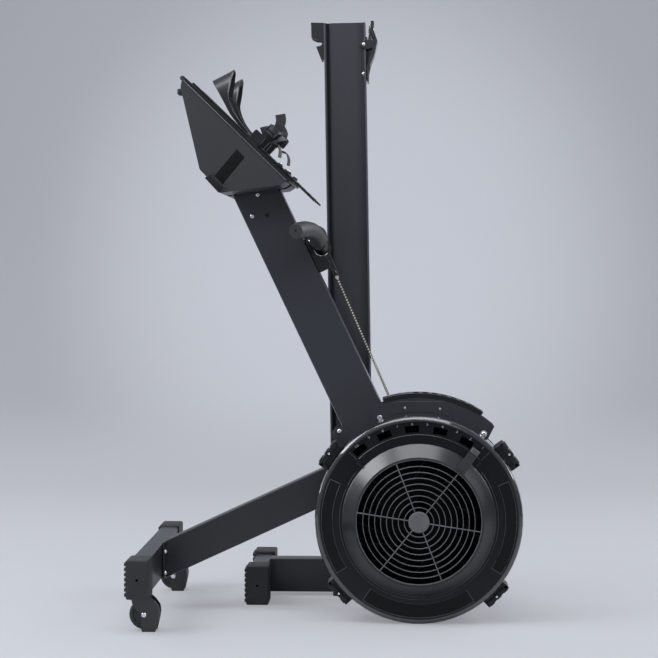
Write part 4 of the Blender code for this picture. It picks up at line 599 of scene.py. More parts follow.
def button_bolt(shape, centre, axis, radius, washer=True):
    """A button head bolt with a hexagon socket, on a washer."""
    h = radius * 0.62
    base = 0.0
    if washer:
        base = radius * 0.16
        r = radius * 1.32
        lathe(shape, centre, axis, [(r, -0.0004), (r, base * 0.7), (r * 0.97, base)], 24)
    profile = [
        (radius, base - 0.0003), (radius, base + h * 0.16), (radius * 0.93, base + h * 0.52),
        (radius * 0.74, base + h * 0.88), (radius * 0.6, base + h), (radius * 0.5, base + h),
        (radius * 0.46, base + h * 0.35), (radius * 0.1, base + h * 0.3),
    ]
    lathe(shape, centre, axis, profile, 24, {5: hexagon, 6: hexagon})


def pan_screw(shape, centre, axis, radius):
    """A pan head screw with a cross recess."""
    h = radius * 0.55
    profile = [
        (radius, -0.0003), (radius, h * 0.45), (radius * 0.86, h * 0.85), (radius * 0.66, h),
        (radius * 0.58, h), (radius * 0.5, h * 0.35), (radius * 0.12, h * 0.3),
    ]
    lathe(shape, centre, axis, profile, 32, {4: cross, 5: cross})


def lock_nut(shape, centre, axis, radius, height):
    """A hexagon nut with a round collar and the end of its bolt."""
    profile = [
        (radius, -0.0003), (radius, height * 0.72), (radius * 0.84, height * 0.8), (radius * 0.8, height),
        (radius * 0.52, height), (radius * 0.5, height * 0.86), (radius * 0.5, height * 1.12),
        (radius * 0.42, height * 1.22),
    ]
    lathe(shape, centre, axis, profile, 24, {0: hexagon, 1: hexagon})


def tube(shape, path, radius, sides):
    """A round bar along a path, with flat ends."""
    rings = []
    for k, point in enumerate(path):
        heading = path[min(k + 1, len(path) - 1)] - path[max(k - 1, 0)]
        rings.append(ring(shape, point, heading, radius, sides))
    join(shape, rings)


def rounded(shape, edges, bevel, segments):
    """Rounds some edges of a shape."""
    bmesh.ops.bevel(
        shape, geom=list(edges), offset=bevel, segments=segments, affect="EDGES", profile=0.5)


def block(shape, base, along, across, up, size, bevel, segments=2):
    """A box with rounded edges, from the middle of its base."""
    made = bmesh.ops.create_cube(shape, size=1.0)["verts"]
    axes = Matrix((along.normalized(), across.normalized(), up.normalized()))
    move = Matrix.Translation(base + up.normalized() * size[2] / 2)
    grow = Matrix.Diagonal((*size, 1.0))
    bmesh.ops.transform(shape, matrix=move @ axes.transposed().to_4x4() @ grow, verts=made)
    rounded(shape, {edge for vertex in made for edge in vertex.link_edges}, bevel, segments)


def slab(shape, outline, thickness, bevel=0.0):
    """A flat plate: an outline of points, thickened by a vector, with its rims rounded."""
    face = shape.faces.new([shape.verts.new(p) for p in outline])
    moved = bmesh.ops.extrude_face_region(shape, geom=[face])
    raised = [item for item in moved["geom"] if isinstance(item, bmesh.types.BMVert)]
    bmesh.ops.translate(shape, verts=raised, vec=thickness)
    if bevel:
        made = set(raised) | set(face.verts)
        edges = {edge for vertex in made for edge in vertex.link_edges}
        rims = [edge for edge in edges if (edge.verts[0] in raised) == (edge.verts[1] in raised)]
        rounded(shape, rims, bevel, 2)


def curve_through(points, steps):
    """A smooth curve through some points, with steps between each pair."""
    points = [Vector(p) for p in points]
    ends = [points[0] * 2 - points[1], *points, points[-1] * 2 - points[-2]]
    made = []
    for a, b, c, d in zip(ends, ends[1:], ends[2:], ends[3:]):
        for step in range(steps):
            t = step / steps
            bend = a * 2 - b * 5 + c * 4 - d
            twist = b * 3 - a - c * 3 + d
            made.append((b * 2 + (c - a) * t + bend * t * t + twist * t ** 3) * 0.5)
    return [*made, points[-1]]


def strap(name, route, across, width, thickness):
    """Webbing along a route, with its width across."""
    shape = bmesh.new()
    length = 0.0
    rows, weave = [], []
    half, t = width / 2, thickness / 2
    edge = thickness * 0.35
    spans = (-half + edge, -half / 2, 0.0, half / 2, half - edge)
    section = [(-half, 0.0), *((a, t) for a in spans), (half, 0.0), *((a, -t) for a in spans[::-1])]
    for k, point in enumerate(route):
        if k:
            length += (point - route[k - 1]).length
        heading = (route[min(k + 1, len(route) - 1)] - route[max(k - 1, 0)]).normalized()
        side = (across - heading * across.dot(heading)).normalized()
        up = heading.cross(side)
        rows.append([shape.verts.new(point + side * a + up * b) for a, b in section])
        weave += [(length, a, b) for a, b in section]
    join(shape, rows)
    made = piece(name, shape, "strap_webbing", 50)
    lanes = made.data.attributes.new("weave", "FLOAT_VECTOR", "POINT")
    for item, value in zip(lanes.data, weave):
        item.vector = value
    return made


def shell(shape, rows, thickness, rim):
    """A curved sheet from rows of points, thickened evenly; rim adds a bead along its last row."""
    grid = [[Vector(p) for p in row] for row in rows]
    high, wide = len(grid), len(grid[0])
    sheets = ([], [])
    for i in range(high):
        for j in range(wide):
            du = grid[min(i + 1, high - 1)][j] - grid[max(i - 1, 0)][j]
            dv = grid[i][min(j + 1, wide - 1)] - grid[i][max(j - 1, 0)]
            normal = du.cross(dv).normalized()
            half = thickness / 2 + (rim if i == high - 1 else 0.0)
            for sheet, sign in zip(sheets, (1, -1)):
                sheet.append(shape.verts.new(grid[i][j] + normal * half * sign))
    for sheet in sheets:
        for i in range(high - 1):
            for j in range(wide - 1):
                a = i * wide + j
                shape.faces.new((sheet[a], sheet[a + 1], sheet[a + wide + 1], sheet[a + wide]))
    last = (high - 1) * wide
    border = [*range(wide), *range(2 * wide - 1, high * wide, wide)]
    border += [*range(last + wide - 2, last - 1, -1), *range(last - wide, 0, -wide)]
    for a, b in zip(border, border[1:] + border[:1]):
        shape.faces.new((sheets[0][a], sheets[0][b], sheets[1][b], sheets[1][a]))


# The CAD solids that each finish goes on
CARRIED = {
    "beam_coat": ("main_beam", "frame_plate_near", "frame_plate_far"),
    "leg_coat": ("front_leg", "front_foot_bar", "rear_leg", "rear_foot_bar"),
    "rail_anodising": ("seat_rail",),
    "black_steel": (
        "hook_bracket", "lock_lever", "handle_shackle", "caster_fork_near", "caster_fork_far",
        "seat_carriage"),
    "housing_plastic": ("fan_back_cover", "fan_cover", "drive_cover"),
    "dial_plastic": ("damper_dial",),
    "guard_plastic": ("fan_grille",),
    "fan_plastic": ("fan_wheel",),
    "panel_grain": ("footrest_housing_near", "footrest_housing_far"),
    "dark_plastic": (
        "rim_clip_upper_left", "rim_clip_upper_right", "rim_clip_lower_left", "rim_clip_lower_right",
        "chain_guard", "guide_roller", "return_pulley", "handle_bar", "handle_holder", "footboard",
        "foot_plate_near", "foot_plate_far", "strap_buckle_near", "strap_buckle_far",
        "seat_roller_lower", "seat_roller_upper"),
    "cap_rubber": (
        "front_foot_cap_near", "front_foot_cap_far", "rear_foot_cap_near", "rear_foot_cap_far",
        "rail_end_cap", "caster_wheel_near", "caster_wheel_far"),
    "grip_rubber": ("grip_near", "grip_far"),
    "heel_rubber": ("heel_cup_near", "heel_cup_far"),
    "seat_vinyl": ("seat_pad",),
    "strap_webbing": ("toe_strap_near", "toe_strap_far", "return_cord"),
    "chain_plating": ("chain_run", "chain_wrap"),
    "turned_steel": ("fan_axle", "axle_bearing_near", "axle_bearing_far", "drive_sprocket"),
}

# The solids with broad rounded edges
BROAD_EDGES = (
    "main_beam", "front_leg", "front_foot_bar", "rear_leg", "rear_foot_bar", "seat_rail",
    "footrest_housing_near", "footrest_housing_far", "chain_guard")


class ROWER_OT_finish_frame(Operator):
    """Gives each carried-over solid its finish, and softens its edges"""

    bl_idname = "rower.finish_frame"
    bl_label = "Finish the frame"

    def execute(self, context):
        left = set(frame["nodes"])
        for material, nodes in CARRIED.items():
            for name in nodes:
                left.remove(name)
                solid = frame["nodes"][name]
                solid.data.materials.clear()
                solid.data.materials.append(finish(material))
                self.soften(solid)
        if left:
            raise RuntimeError(f"no finish for {sorted(left)}")
        return {"FINISHED"}

    def soften(self, solid):
        """Joins the solid's triangles, rounds its sharp edges a little and shades it smooth."""
        normals = solid.data.attributes.get("custom_normal")
        if normals:
            solid.data.attributes.remove(normals)
        solid.data.shade_smooth()
        weld = solid.modifiers.new("joined", "WELD")
        weld.merge_threshold = 0.00001
        flat = solid.modifiers.new("flat faces", "DECIMATE")
        flat.decimate_type = "DISSOLVE"
        flat.angle_limit = math.radians(0.4)
        edge = solid.modifiers.new("softened edges", "BEVEL")
        edge.width = 0.002 if solid.name in BROAD_EDGES else 0.0005
        edge.segments = 2
        edge.limit_method = "ANGLE"
        edge.angle_limit = math.radians(34)
        edge.use_clamp_overlap = True
        solid.modifiers.new("even shading", "WEIGHTED_NORMAL")


class ROWER_OT_roller_chain(Operator):
    """Makes the pulled run of roller chain, link by link"""

    bl_idname = "rower.roller_chain"
    bl_label = "Roller chain"

    def execute(self, context):
        pitch = sizes().chain_pitch
        start = place(CHAIN_TOP[0], 0.0, CHAIN_TOP[1]) + CHAIN_DOWN * FIRST_PIN
        reach = (start.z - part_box("chain_run")[0].z) / -CHAIN_DOWN.z - 0.004
        across = CHAIN_DOWN.cross(FAR).normalized()
        outer, inner, pins = bmesh.new(), bmesh.new(), bmesh.new()
        width = 0.0084
        head = [(0.0013, 0.0), (0.0019, 0.0003), (0.0019, width - 0.0003), (0.0013, width)]
        for k in range(int(reach / pitch)):
            a = start + CHAIN_DOWN * pitch * k
            self.plates(inner if k % 2 else outer, a, pitch, across, 0.0016 if k % 2 else 0.0026)
            lathe(pins, a - FAR * width / 2, FAR, head, 10)
            lathe(inner, a - FAR * 0.0016, FAR, [(0.00165, 0.0), (0.00165, 0.0032)], 10)
        made = (
            ("chain_outer_links", outer, "link_steel"), ("chain_inner_links", inner, "link_steel"),
            ("chain_pins", pins, "chain_plating"))
        for name, shape, material in made:
            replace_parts(piece(name, shape, material, 40, "handle"), "chain_run")
        return {"FINISHED"}

    def plates(self, shape, a, pitch, across, apart):
        """The two side plates of one link, waisted between their pins."""
        radius = 0.003
        outline = []
        for centre, start, waist in ((0.0, 90, -1), (pitch, 270, 1)):
            for step in range(7):
                angle = math.radians(start + 30 * step)
                outline.append((centre + radius * math.cos(angle), radius * math.sin(angle)))
            outline.append((pitch / 2, waist * radius * 0.3))
        for side in (-1, 1):
            base = a + FAR * side * apart
            points = [base + CHAIN_DOWN * run + across * rise for run, rise in outline]
            slab(shape, points, FAR * side * 0.0008)


class ROWER_OT_toe_straps(Operator):
    """Makes the webbing toe straps with their buckles and loose tails"""

    bl_idname = "rower.toe_straps"
    bl_label = "Toe straps and buckles"

    def execute(self, context):
        for word, facing in SIDES:
            self.over_foot(word, facing.y)
            self.loose_ends(word, facing.y)
            self.buckle(word, facing.y)
        return {"FINISHED"}

    def over_foot(self, word, side):
        """The strap over the foot, from the inner anchor to the outer one."""
        half, rise = 0.06, 0.0262
        points = [
            (-half, 0.001), (-half + 0.001, 0.009), (-half + 0.008, 0.019), (-0.036, rise - 0.001),
            (-0.016, rise + 0.002), (0.0, rise + 0.0026), (0.016, rise + 0.002), (0.036, rise - 0.001),
            (half - 0.008, 0.019), (half - 0.001, 0.009), (half, 0.001),
        ]
        route = []
        for y, out in points:
            run = STRAP_RUN + 0.015 * out / 0.029
            route.append(on_board(run, STRAP_BASE + out, side * (FOOT_Y + y)))
        made = strap(
            f"strap_web_{word}", curve_through(route, 5), BOARD_RUN, sizes().strap_width,
            sizes().strap_thickness)
        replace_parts(made, f"toe_strap_{word}")

    def loose_ends(self, word, side):
        """The end that comes up out of its keeper, and the short end below the strap."""
        thin = sizes().strap_thickness * 0.8
        y = side * FOOT_Y
        rise = 1.0 if side < 0 else 0.35
        raised = ((0.013, 0.0, 0.0), (0.011, 0.011, -0.001), (0.005, 0.021, 0.002), (-0.006, 0.03, 0.006))
        route = [
            on_board(STRAP_RUN + run, STRAP_BASE + 0.029 + out * rise, y + aside)
            for run, out, aside in raised]
        strap(f"strap_tail_{word}", curve_through(route, 6), BOARD_RUN - FAR * 0.25, 0.0225, thin)
        low = side * (FOOT_Y + 0.052)
        hanging = ((0.029, 0.002), (0.042, 0.0075), (0.055, 0.001), (0.064, -0.01))
        route = [on_board(STRAP_RUN + run, STRAP_BASE + out, low) for run, out in hanging]
        strap(f"strap_end_{word}", curve_through(route, 6), FAR + BOARD_RUN * 0.3, 0.02, thin)
        keeper = bmesh.new()
        middle = on_board(STRAP_RUN + 0.0145, STRAP_BASE + 0.0225, y)
        block(keeper, middle, FAR, BOARD_RUN, BOARD_OUT, (0.02, 0.03, 0.01), 0.003, 4)
        piece(f"strap_keeper_{word}", keeper, "cap_rubber", 40)

    def buckle(self, word, side):
        """A cam buckle: a base under the strap, two cheeks and the cam between them."""
        lean = (BOARD_OUT * 0.72 + FAR * side * 0.69).normalized()
        slide = lean.cross(BOARD_RUN).normalized()
        shape = bmesh.new()
        base = middle_of(f"strap_buckle_{word}") - lean * 0.004
        block(shape, base, slide, BOARD_RUN, lean, (0.027, 0.025, 0.0042), 0.0014, 3)
        for sign in (-1, 1):
            cheek = base + BOARD_RUN * sign * 0.012
            block(shape, cheek, slide, BOARD_RUN, lean, (0.023, 0.002, 0.0084), 0.0008)
        cam = base + slide * 0.0035 + lean * 0.0038
        block(shape, cam, slide + lean * 0.16, BOARD_RUN, lean, (0.0185, 0.0205, 0.004), 0.0014, 3)
        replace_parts(piece(f"cam_buckle_{word}", shape, "dark_plastic", 40), f"strap_buckle_{word}")


class ROWER_OT_heel_cups(Operator):
    """Makes the moulded heel cups on their flexible leaves"""

    bl_idname = "rower.heel_cups"
    bl_label = "Heel cups"

    def execute(self, context):
        for word, facing in SIDES:
            self.cup(word, facing.y * FOOT_Y)
        return {"FINISHED"}

    def cup(self, word, middle):
        """A band that wraps the heel: low at its feet, high and round at the back."""
        stations = (
            (0.158, 0.0000, 0.158, 0.005, 0.046), (0.13, 0.0015, 0.131, 0.0085, 0.0461),
            (0.105, 0.005, 0.107, 0.0135, 0.046), (0.082, 0.0125, 0.085, 0.0235, 0.046),
            (0.066, 0.0175, 0.073, 0.0325, 0.0456), (0.055, 0.021, 0.066, 0.043, 0.0445),
            (0.044, 0.024, 0.057, 0.056, 0.0415), (0.036, 0.026, 0.051, 0.064, 0.037),
            (0.03, 0.0278, 0.046, 0.0715, 0.03), (0.026, 0.029, 0.043, 0.077, 0.021),
            (0.0228, 0.0298, 0.0406, 0.0802, 0.0105), (0.022, 0.03, 0.04, 0.081, 0.0),
        )
        band = list(stations) + [row[:4] + (-row[4],) for row in stations[-2::-1]]
        feet, rims = [], []
        for run, out, high_run, high_out, y in band:
            feet.append(on_board(0.02 + run, PLATE_TOP + 0.0003 + out, middle + y))
            rims.append(on_board(0.02 + high_run, PLATE_TOP + 0.0003 + high_out, middle + y))
        pairs = list(zip(curve_through(feet, 2), curve_through(rims, 2)))
        rows = []
        for share in (0.0, 0.12, 0.3, 0.5, 0.7, 0.86, 0.96, 1.0):
            flare = 0.0014 * share * share
            row = []
            for foot, rim in pairs:
                point = foot.lerp(rim, share)
                aside = point.y - MID_Y - middle
                away = FAR * (0.0 if abs(aside) < 0.02 else math.copysign(flare, aside))
                row.append(point + away - BOARD_RUN * flare * 0.6)
            rows.append(row)
        shape = bmesh.new()
        shell(shape, rows, 0.0026, 0.0005)
        made = piece(f"heel_shell_{word}", shape, "heel_rubber", 60, f"foot_{word}")
        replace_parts(made, f"heel_cup_{word}")


class ROWER_OT_seat_cushion(Operator):
    """Makes the contoured foam seat, with a notch at its low end and a moulded groove round its side"""

    bl_idname = "rower.seat_cushion"
    bl_label = "Seat cushion"

    def execute(self, context):
        low, high = (Vector(c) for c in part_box("seat_pad"))
        self.half_long = (high.z - low.z) / 2 - 0.0005
        self.half_wide = (high.y - low.y) / 2
        self.middle = (high.z + low.z) / 2
        profile = (
            (0.016, 0.0003), (0.006, 0.0008), (0.0015, 0.004), (0.0, 0.009), (0.0016, 0.0108),
            (0.0016, 0.0118), (0.0, 0.0136), (0.0006, 0.02), (0.0045, 0.0272), (0.013, 0.0325),
            (0.026, 0.0352), (0.042, 0.036), (0.06, 0.0358), (0.078, 0.0352), (0.094, 0.035))
        shape = bmesh.new()
        rows = [[self.point(shape, k, inset, out) for k in range(96)] for inset, out in profile]
        join(shape, rows)
        made = piece("seat_cushion", shape, "seat_vinyl", 180, "seat")
        rounder = made.modifiers.new("rounder", "SUBSURF")
        rounder.levels = 1
        rounder.render_levels = 1
        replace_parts(made, "seat_pad")
        return {"FINISHED"}

    def point(self, shape, k, inset, out):
        """A point of the cushion: so far in from its outline, and so far out from its base."""
        angle = math.tau * k / 96
        c, s = math.cos(angle), math.sin(angle)
        y = self.half_wide * math.copysign(abs(c) ** 0.62, c) * (1 - inset / self.half_wide)
        along = self.half_long * math.copysign(abs(s) ** 0.6, s) * (1 - inset / self.half_long)
        if s < 0:
            along += 0.022 * math.exp(-((y / 0.048) ** 2)) * (1 - inset / 0.11)
        dish = math.exp(-(((abs(y) - 0.07) / 0.042) ** 2) - (along / 0.062) ** 2)
        crest = math.exp(-((y / 0.026) ** 2))
        lift = (0.0012 * crest - 0.0042 * dish) if out > 0.03 else 0.0
        side = RAIL_DEPTH + SEAT_STAND + out + lift
        return shape.verts.new(on_rail(self.middle + along, side, y))


class ROWER_OT_fasteners(Operator):
    """Puts in the frame's bolts, the housing's screws, the casters' axles and the lock lever's pins"""

    bl_idname = "rower.fasteners"
    bl_label = "Bolts, screws and pins"

    def execute(self, context):
        for make, name, body in (
                (self.frame_bolts, "frame_bolts", "front_frame"),
                (self.housing_screws, "housing_screws", "front_frame"),
                (self.caster_axles, "caster_axles", "front_frame"),
                (self.lever_pins, "lock_lever_pins", "lock")):
            shape = bmesh.new()
            make(shape)
            piece(name, shape, "zinc_plating", 35, body)
        return {"FINISHED"}

    def frame_bolts(self, shape):
        """Button head bolts and screws in the beam, the frame plates and the leg's end plate."""
        radius = sizes().bolt_radius
        plates = ("main_beam", "frame_plate_near", "frame_plate_far", "front_leg", "chain_guard")
        beam_spots = ((-0.3585, 0.9335), (-0.3705, 0.8855), (-0.1761, 0.4068))
        screw_spots = ((-0.0304, 0.4593, 0.62), (0.0478, 0.4573, 0.62), (-0.0859, 0.4368, 1.25))
        for facing in (NEAR, FAR):
            for x, z in beam_spots:
                button_bolt(shape, seated(plates, place(x, 0.0, z), facing), facing, radius, washer=False)
            for x, z, share in screw_spots:
                pan_screw(shape, seated(plates, place(x, 0.0, z), facing), facing, radius * share)
            button_bolt(shape, seated(plates, place(0.145, 0.0, 0.4016), facing), facing, radius * 1.1)
        for y in (-0.0415, 0.0415):
            for z in (0.1365, 0.089):
                spot = seated(("front_leg", "front_foot_bar"), place(-0.59, y, z), RIGHT)
                button_bolt(shape, spot, RIGHT, radius, washer=False)

    def housing_screws(self, shape):
        """Pan head screws round the fan housing's drive side."""
        for k in range(6):
            pan_screw(shape, seated(("drive_cover",), round_axle(0.196, 15 + 60 * k, 0.0), FAR), FAR, 0.0042)

    def caster_axles(self, shape):
        """The bolt and lock nut through each caster fork."""
        for word, facing in SIDES:
            wheel = middle_of(f"caster_wheel_{word}")
            fork = (f"caster_fork_{word}",)
            button_bolt(shape, seated(fork, wheel, facing), facing, 0.006, washer=False)
            lock_nut(shape, seated(fork, wheel, -facing), -facing, 0.0066, 0.0056)

    def lever_pins(self, shape):
        """The two pins through the lock lever at the rail's upper end."""
        profile = [
            (0.004, -0.0004), (0.004, 0.001), (0.0036, 0.0018), (0.0026, 0.0023), (0.0012, 0.0025)]
        for z in (1.2901, 1.2228):
            for facing in (NEAR, FAR):
                spot = seated(("lock_lever", "seat_rail"), place(-0.1269, RAIL_MID_Y, z), facing)
                lathe(shape, spot, facing, profile, 20)


class ROWER_OT_damper_scale(Operator):
    """Prints the damper scale's figures, and puts the cap on the damper's lever"""

    bl_idname = "rower.damper_scale"
    bl_label = "Damper scale"

    def execute(self, context):
        steps = sizes().damper_steps
        shape = bmesh.new()
        for k in range(steps):
            self.figure(shape, str(k + 1), SCALE_START + SCALE_SWEEP * k / (steps - 1))
        piece("damper_figures", shape, "scale_ink")
        self.lever_cap()
        return {"FINISHED"}

    def lever_cap(self):
        """The ribbed cap on the damper's lever."""
        shape = bmesh.new()
        base = seated(("damper_dial",), round_axle(0.1925, LEVER_ANGLE, 0.0), NEAR)
        out = spoke(LEVER_ANGLE)
        block(shape, base, out.cross(FAR), out, NEAR, (0.019, 0.0115, 0.002), 0.0009, 3)
        for k in range(-2, 3):
            rib = base + NEAR * 0.0019 + out * 0.0021 * k
            block(shape, rib, out.cross(FAR), out, NEAR, (0.015, 0.0009, 0.0005), 0.0002, 1)
        piece("damper_lever_cap", shape, "pointer_plastic", 40, "damper")

    def figure(self, shape, text, degrees):
        """Adds one raised figure to the shape, its foot towards the axle."""
        face = bpy.data.curves.new("figure", "FONT")
        face.body = text
        face.align_x = "CENTER"
        face.align_y = "CENTER"
        face.size = sizes().number_height * 1.42
        face.extrude = 0.00012
        face.resolution_u = 3
        holder = bpy.data.objects.new("figure", face)
        bpy.context.scene.collection.objects.link(holder)
        graph = bpy.context.evaluated_depsgraph_get()
        printed = bpy.data.meshes.new_from_object(holder.evaluated_get(graph))
        spot = seated(("fan_cover",), round_axle(SCALE_RADIUS, degrees, 0.0), NEAR) + NEAR * 0.0001
        out = spoke(degrees)
        turn = Matrix((out.cross(FAR) * -1.0, out, NEAR)).transposed().to_4x4()
        printed.transform(Matrix.Translation(spot) @ turn)
        shape.from_mesh(printed)
        bpy.data.objects.remove(holder)
        bpy.data.curves.remove(face)
        bpy.data.meshes.remove(printed)


class ROWER_OT_guard_rings(Operator):
    """Makes the fan guard: thin round rings on six spokes, with a hub disc"""

    bl_idname = "rower.guard_rings"
    bl_label = "Fan guard"

    def execute(self, context):
        shape = bmesh.new()
        front = DIAL_FRONT_Y
        for k in range(RINGS):
            self.hoop(shape, RING_FIRST + RING_PITCH * k, 0.0008, front, front + 0.004)
        self.hoop(shape, GUARD_OPENING - 0.0012, 0.0011, front + 0.0006, front + 0.0048)
        centre = place(0.0, front, AXLE_Z) + FAR * 0.005
        disc = [
            (HUB_RADIUS, 0.0), (HUB_RADIUS, 0.0042), (HUB_RADIUS - 0.0006, 0.005),
            (HUB_RADIUS - 0.003, 0.0054), (HUB_RADIUS - 0.008, 0.0056), (0.004, 0.0056)]
        lathe(shape, centre, NEAR, disc, 72)
        for k in range(6):
            out = spoke(LEVER_ANGLE + 60.0 * k)
            middle = centre + out * (HUB_RADIUS + GUARD_OPENING) / 2
            size = (GUARD_OPENING - HUB_RADIUS, 0.0021, 0.005)
            block(shape, middle, out, out.cross(FAR), NEAR, size, 0.0005)
        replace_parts(piece("fan_guard", shape, "guard_plastic", 45, "damper"), "fan_grille")
        return {"FINISHED"}

    def hoop(self, shape, radius, half, front, back):
        """One ring with a rounded front edge."""
        section = (
            (radius - half, back), (radius - half, front + half * 0.6), (radius - half * 0.5, front),
            (radius + half * 0.5, front), (radius + half, front + half * 0.6), (radius + half, back))
        join(shape, [ring(shape, place(0.0, y, AXLE_Z), FAR, r, 120) for r, y in section], closed=True)


class ROWER_OT_rim_clips(Operator):
    """Makes the stepped clips round the fan housing's rim, each with its screw"""

    bl_idname = "rower.rim_clips"
    bl_label = "Rim clips"

    def execute(self, context):
        clips = (
            ("upper_left", 144.1, 0.247, 1), ("upper_right", 35.8, 0.247, -1),
            ("lower_left", 222.6, 0.2425, -1), ("lower_right", 316.0, 0.2425, 1))
        for word, degrees, reach, hand in clips:
            self.clip(word, spoke(degrees), reach, hand)
        return {"FINISHED"}

    def clip(self, word, out, reach, hand):
        """One clip, out from the axle to a reach; hand turns its step to one side or the other."""
        along = out.cross(FAR) * hand
        low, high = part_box(f"rim_clip_{word}")
        front, back = low.y - MID_Y, high.y - MID_Y
        centre = place(0.0, 0.0, AXLE_Z)
        shape = bmesh.new()
        self.tier(shape, out, along, reach, front + 0.006, back)
        steps = (
            (0.0, 0.0048, 0.061, 0.0096), (0.0262, 0.0125, 0.0086, 0.019),
            (-0.0285, 0.011, 0.004, 0.018))
        for aside, under, long, wide in steps:
            base = centre + along * aside + out * (reach - under) + FAR * (front + 0.0066)
            block(shape, base, along, out, NEAR, (long, wide, 0.0064), 0.001)
        lip = centre + out * (reach - 0.0006) + FAR * (front + back) / 2
        for aside in (-0.02, 0.0, 0.02):
            size = (0.012, (back - front) * 0.8, 0.003)
            block(shape, lip + along * aside, along, FAR, out, size, 0.0008)
        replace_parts(piece(f"housing_clip_{word}", shape, "dark_plastic", 40), f"rim_clip_{word}")
        washer = bmesh.new()
        head = centre + out * (reach - 0.0055) - along * 0.002 + FAR * (front + 0.0002)
        lathe(washer, head + FAR * 0.0002, NEAR, [(0.005, 0.0), (0.005, 0.0006), (0.004, 0.0008)], 24)
        piece(f"clip_washer_{word}", washer, "inset_plastic", 35)
        screw = bmesh.new()
        pan_screw(screw, head + NEAR * 0.0006, NEAR, 0.0027)
        piece(f"clip_screw_{word}", screw, "zinc_plating", 35)

    def tier(self, shape, out, along, reach, front, back):
        """The clip's body: its inner side follows the rim, its outer side is straight."""
        half, cut = 0.0305, 0.002
        points = []
        for k in range(13):
            t = -half + 2 * half * k / 12
            points.append((t, math.sqrt(DRUM_RADIUS ** 2 - t * t)))
        points += [(half, reach - cut), (half - cut, reach), (-half + cut, reach), (-half, reach - cut)]
        centre = place(0.0, front, AXLE_Z)
        slab(shape, [centre + along * t + out * r for t, r in points], FAR * (back - front))


class ROWER_OT_cover_insets(Operator):
    """Lines the fan cover's recessed fields, beads their outlines and seats the stops of the dial"""

    bl_idname = "rower.cover_insets"
    bl_label = "Cover insets"

    def execute(self, context):
        self.plates()
        self.beads()
        self.stops()
        return {"FINISHED"}

    def plates(self):
        """A plate in each recessed field."""
        shape = bmesh.new()
        for start, end, inner in COVER_FIELDS:
            self.field(shape, start + 0.5, end - 0.5, inner + 0.0014, FIELD_OUTER)
        piece("cover_inset_plates", shape, "inset_plastic", 30)

    def beads(self):
        """The raised lines round the fields, the damper's windows and the dial, in a light grey that is a
        painted highlight on the cover's black plastic.
        """
        shape = bmesh.new()
        for start, end, inner in COVER_FIELDS:
            for radius in (inner + BEAD_RADIUS, BEAD_OUTER):
                self.bead(shape, radius, start, end)
            for degrees in (start, end):
                self.end_bead(shape, degrees, inner + BEAD_RADIUS, BEAD_OUTER)
        self.bead(shape, 0.186, 46.0, 134.5)
        for degrees in (44.5, 135.5):
            self.end_bead(shape, degrees, 0.187, 0.212)
        self.bead(shape, 0.1712, 142.0, 398.0)
        piece("cover_beads", shape, "edge_plastic", 60)

    def stops(self):
        """The two stops of the dial."""
        shape = bmesh.new()
        for degrees in (136.5, 44.0):
            out = spoke(degrees)
            base = seated(("fan_cover",), round_axle(0.1755, degrees, 0.0), NEAR)
            block(shape, base - NEAR * 0.0003, out.cross(FAR), out, NEAR, (0.0052, 0.011, 0.0042), 0.001)
            block(shape, base + out * 0.0066, out.cross(FAR), out, NEAR, (0.011, 0.003, 0.003), 0.0008)
        piece("dial_stops", shape, "dark_plastic", 40)

    def bead(self, shape, radius, start, end):
        """A fine raised line on the cover's face, round the axle."""
        count = max(int((end - start) / 3.0), 2)
        turns = [start + (end - start) * k / count for k in range(count + 1)]
        route = [round_axle(radius, degrees, BEAD_Y) for degrees in turns]
        tube(shape, route, BEAD_RADIUS, 6)

    def end_bead(self, shape, degrees, inner, outer):
        """A fine raised line on the cover's face, away from the axle."""
        route = [round_axle(radius, degrees, BEAD_Y) for radius in (inner, outer)]
        tube(shape, route, BEAD_RADIUS, 6)

    def field(self, shape, start, end, inner, outer):
        """One plate between two radii and two angles, with cut corners."""
        nick, cut, steps = 0.9, 0.003, 40
        turns = [start + nick + (end - start - 2 * nick) * k / steps for k in range(steps + 1)]
        spots = [(outer, degrees) for degrees in turns] + [(outer - cut, end), (inner + cut, end)]
        spots += [(inner, degrees) for degrees in turns[::-1]]
        spots += [(inner + cut, start), (outer - cut, start)]
        route = [round_axle(radius, degrees, COVER_FACE_Y + 0.0013) for radius, degrees in spots]
        slab(shape, route, NEAR * 0.0008)


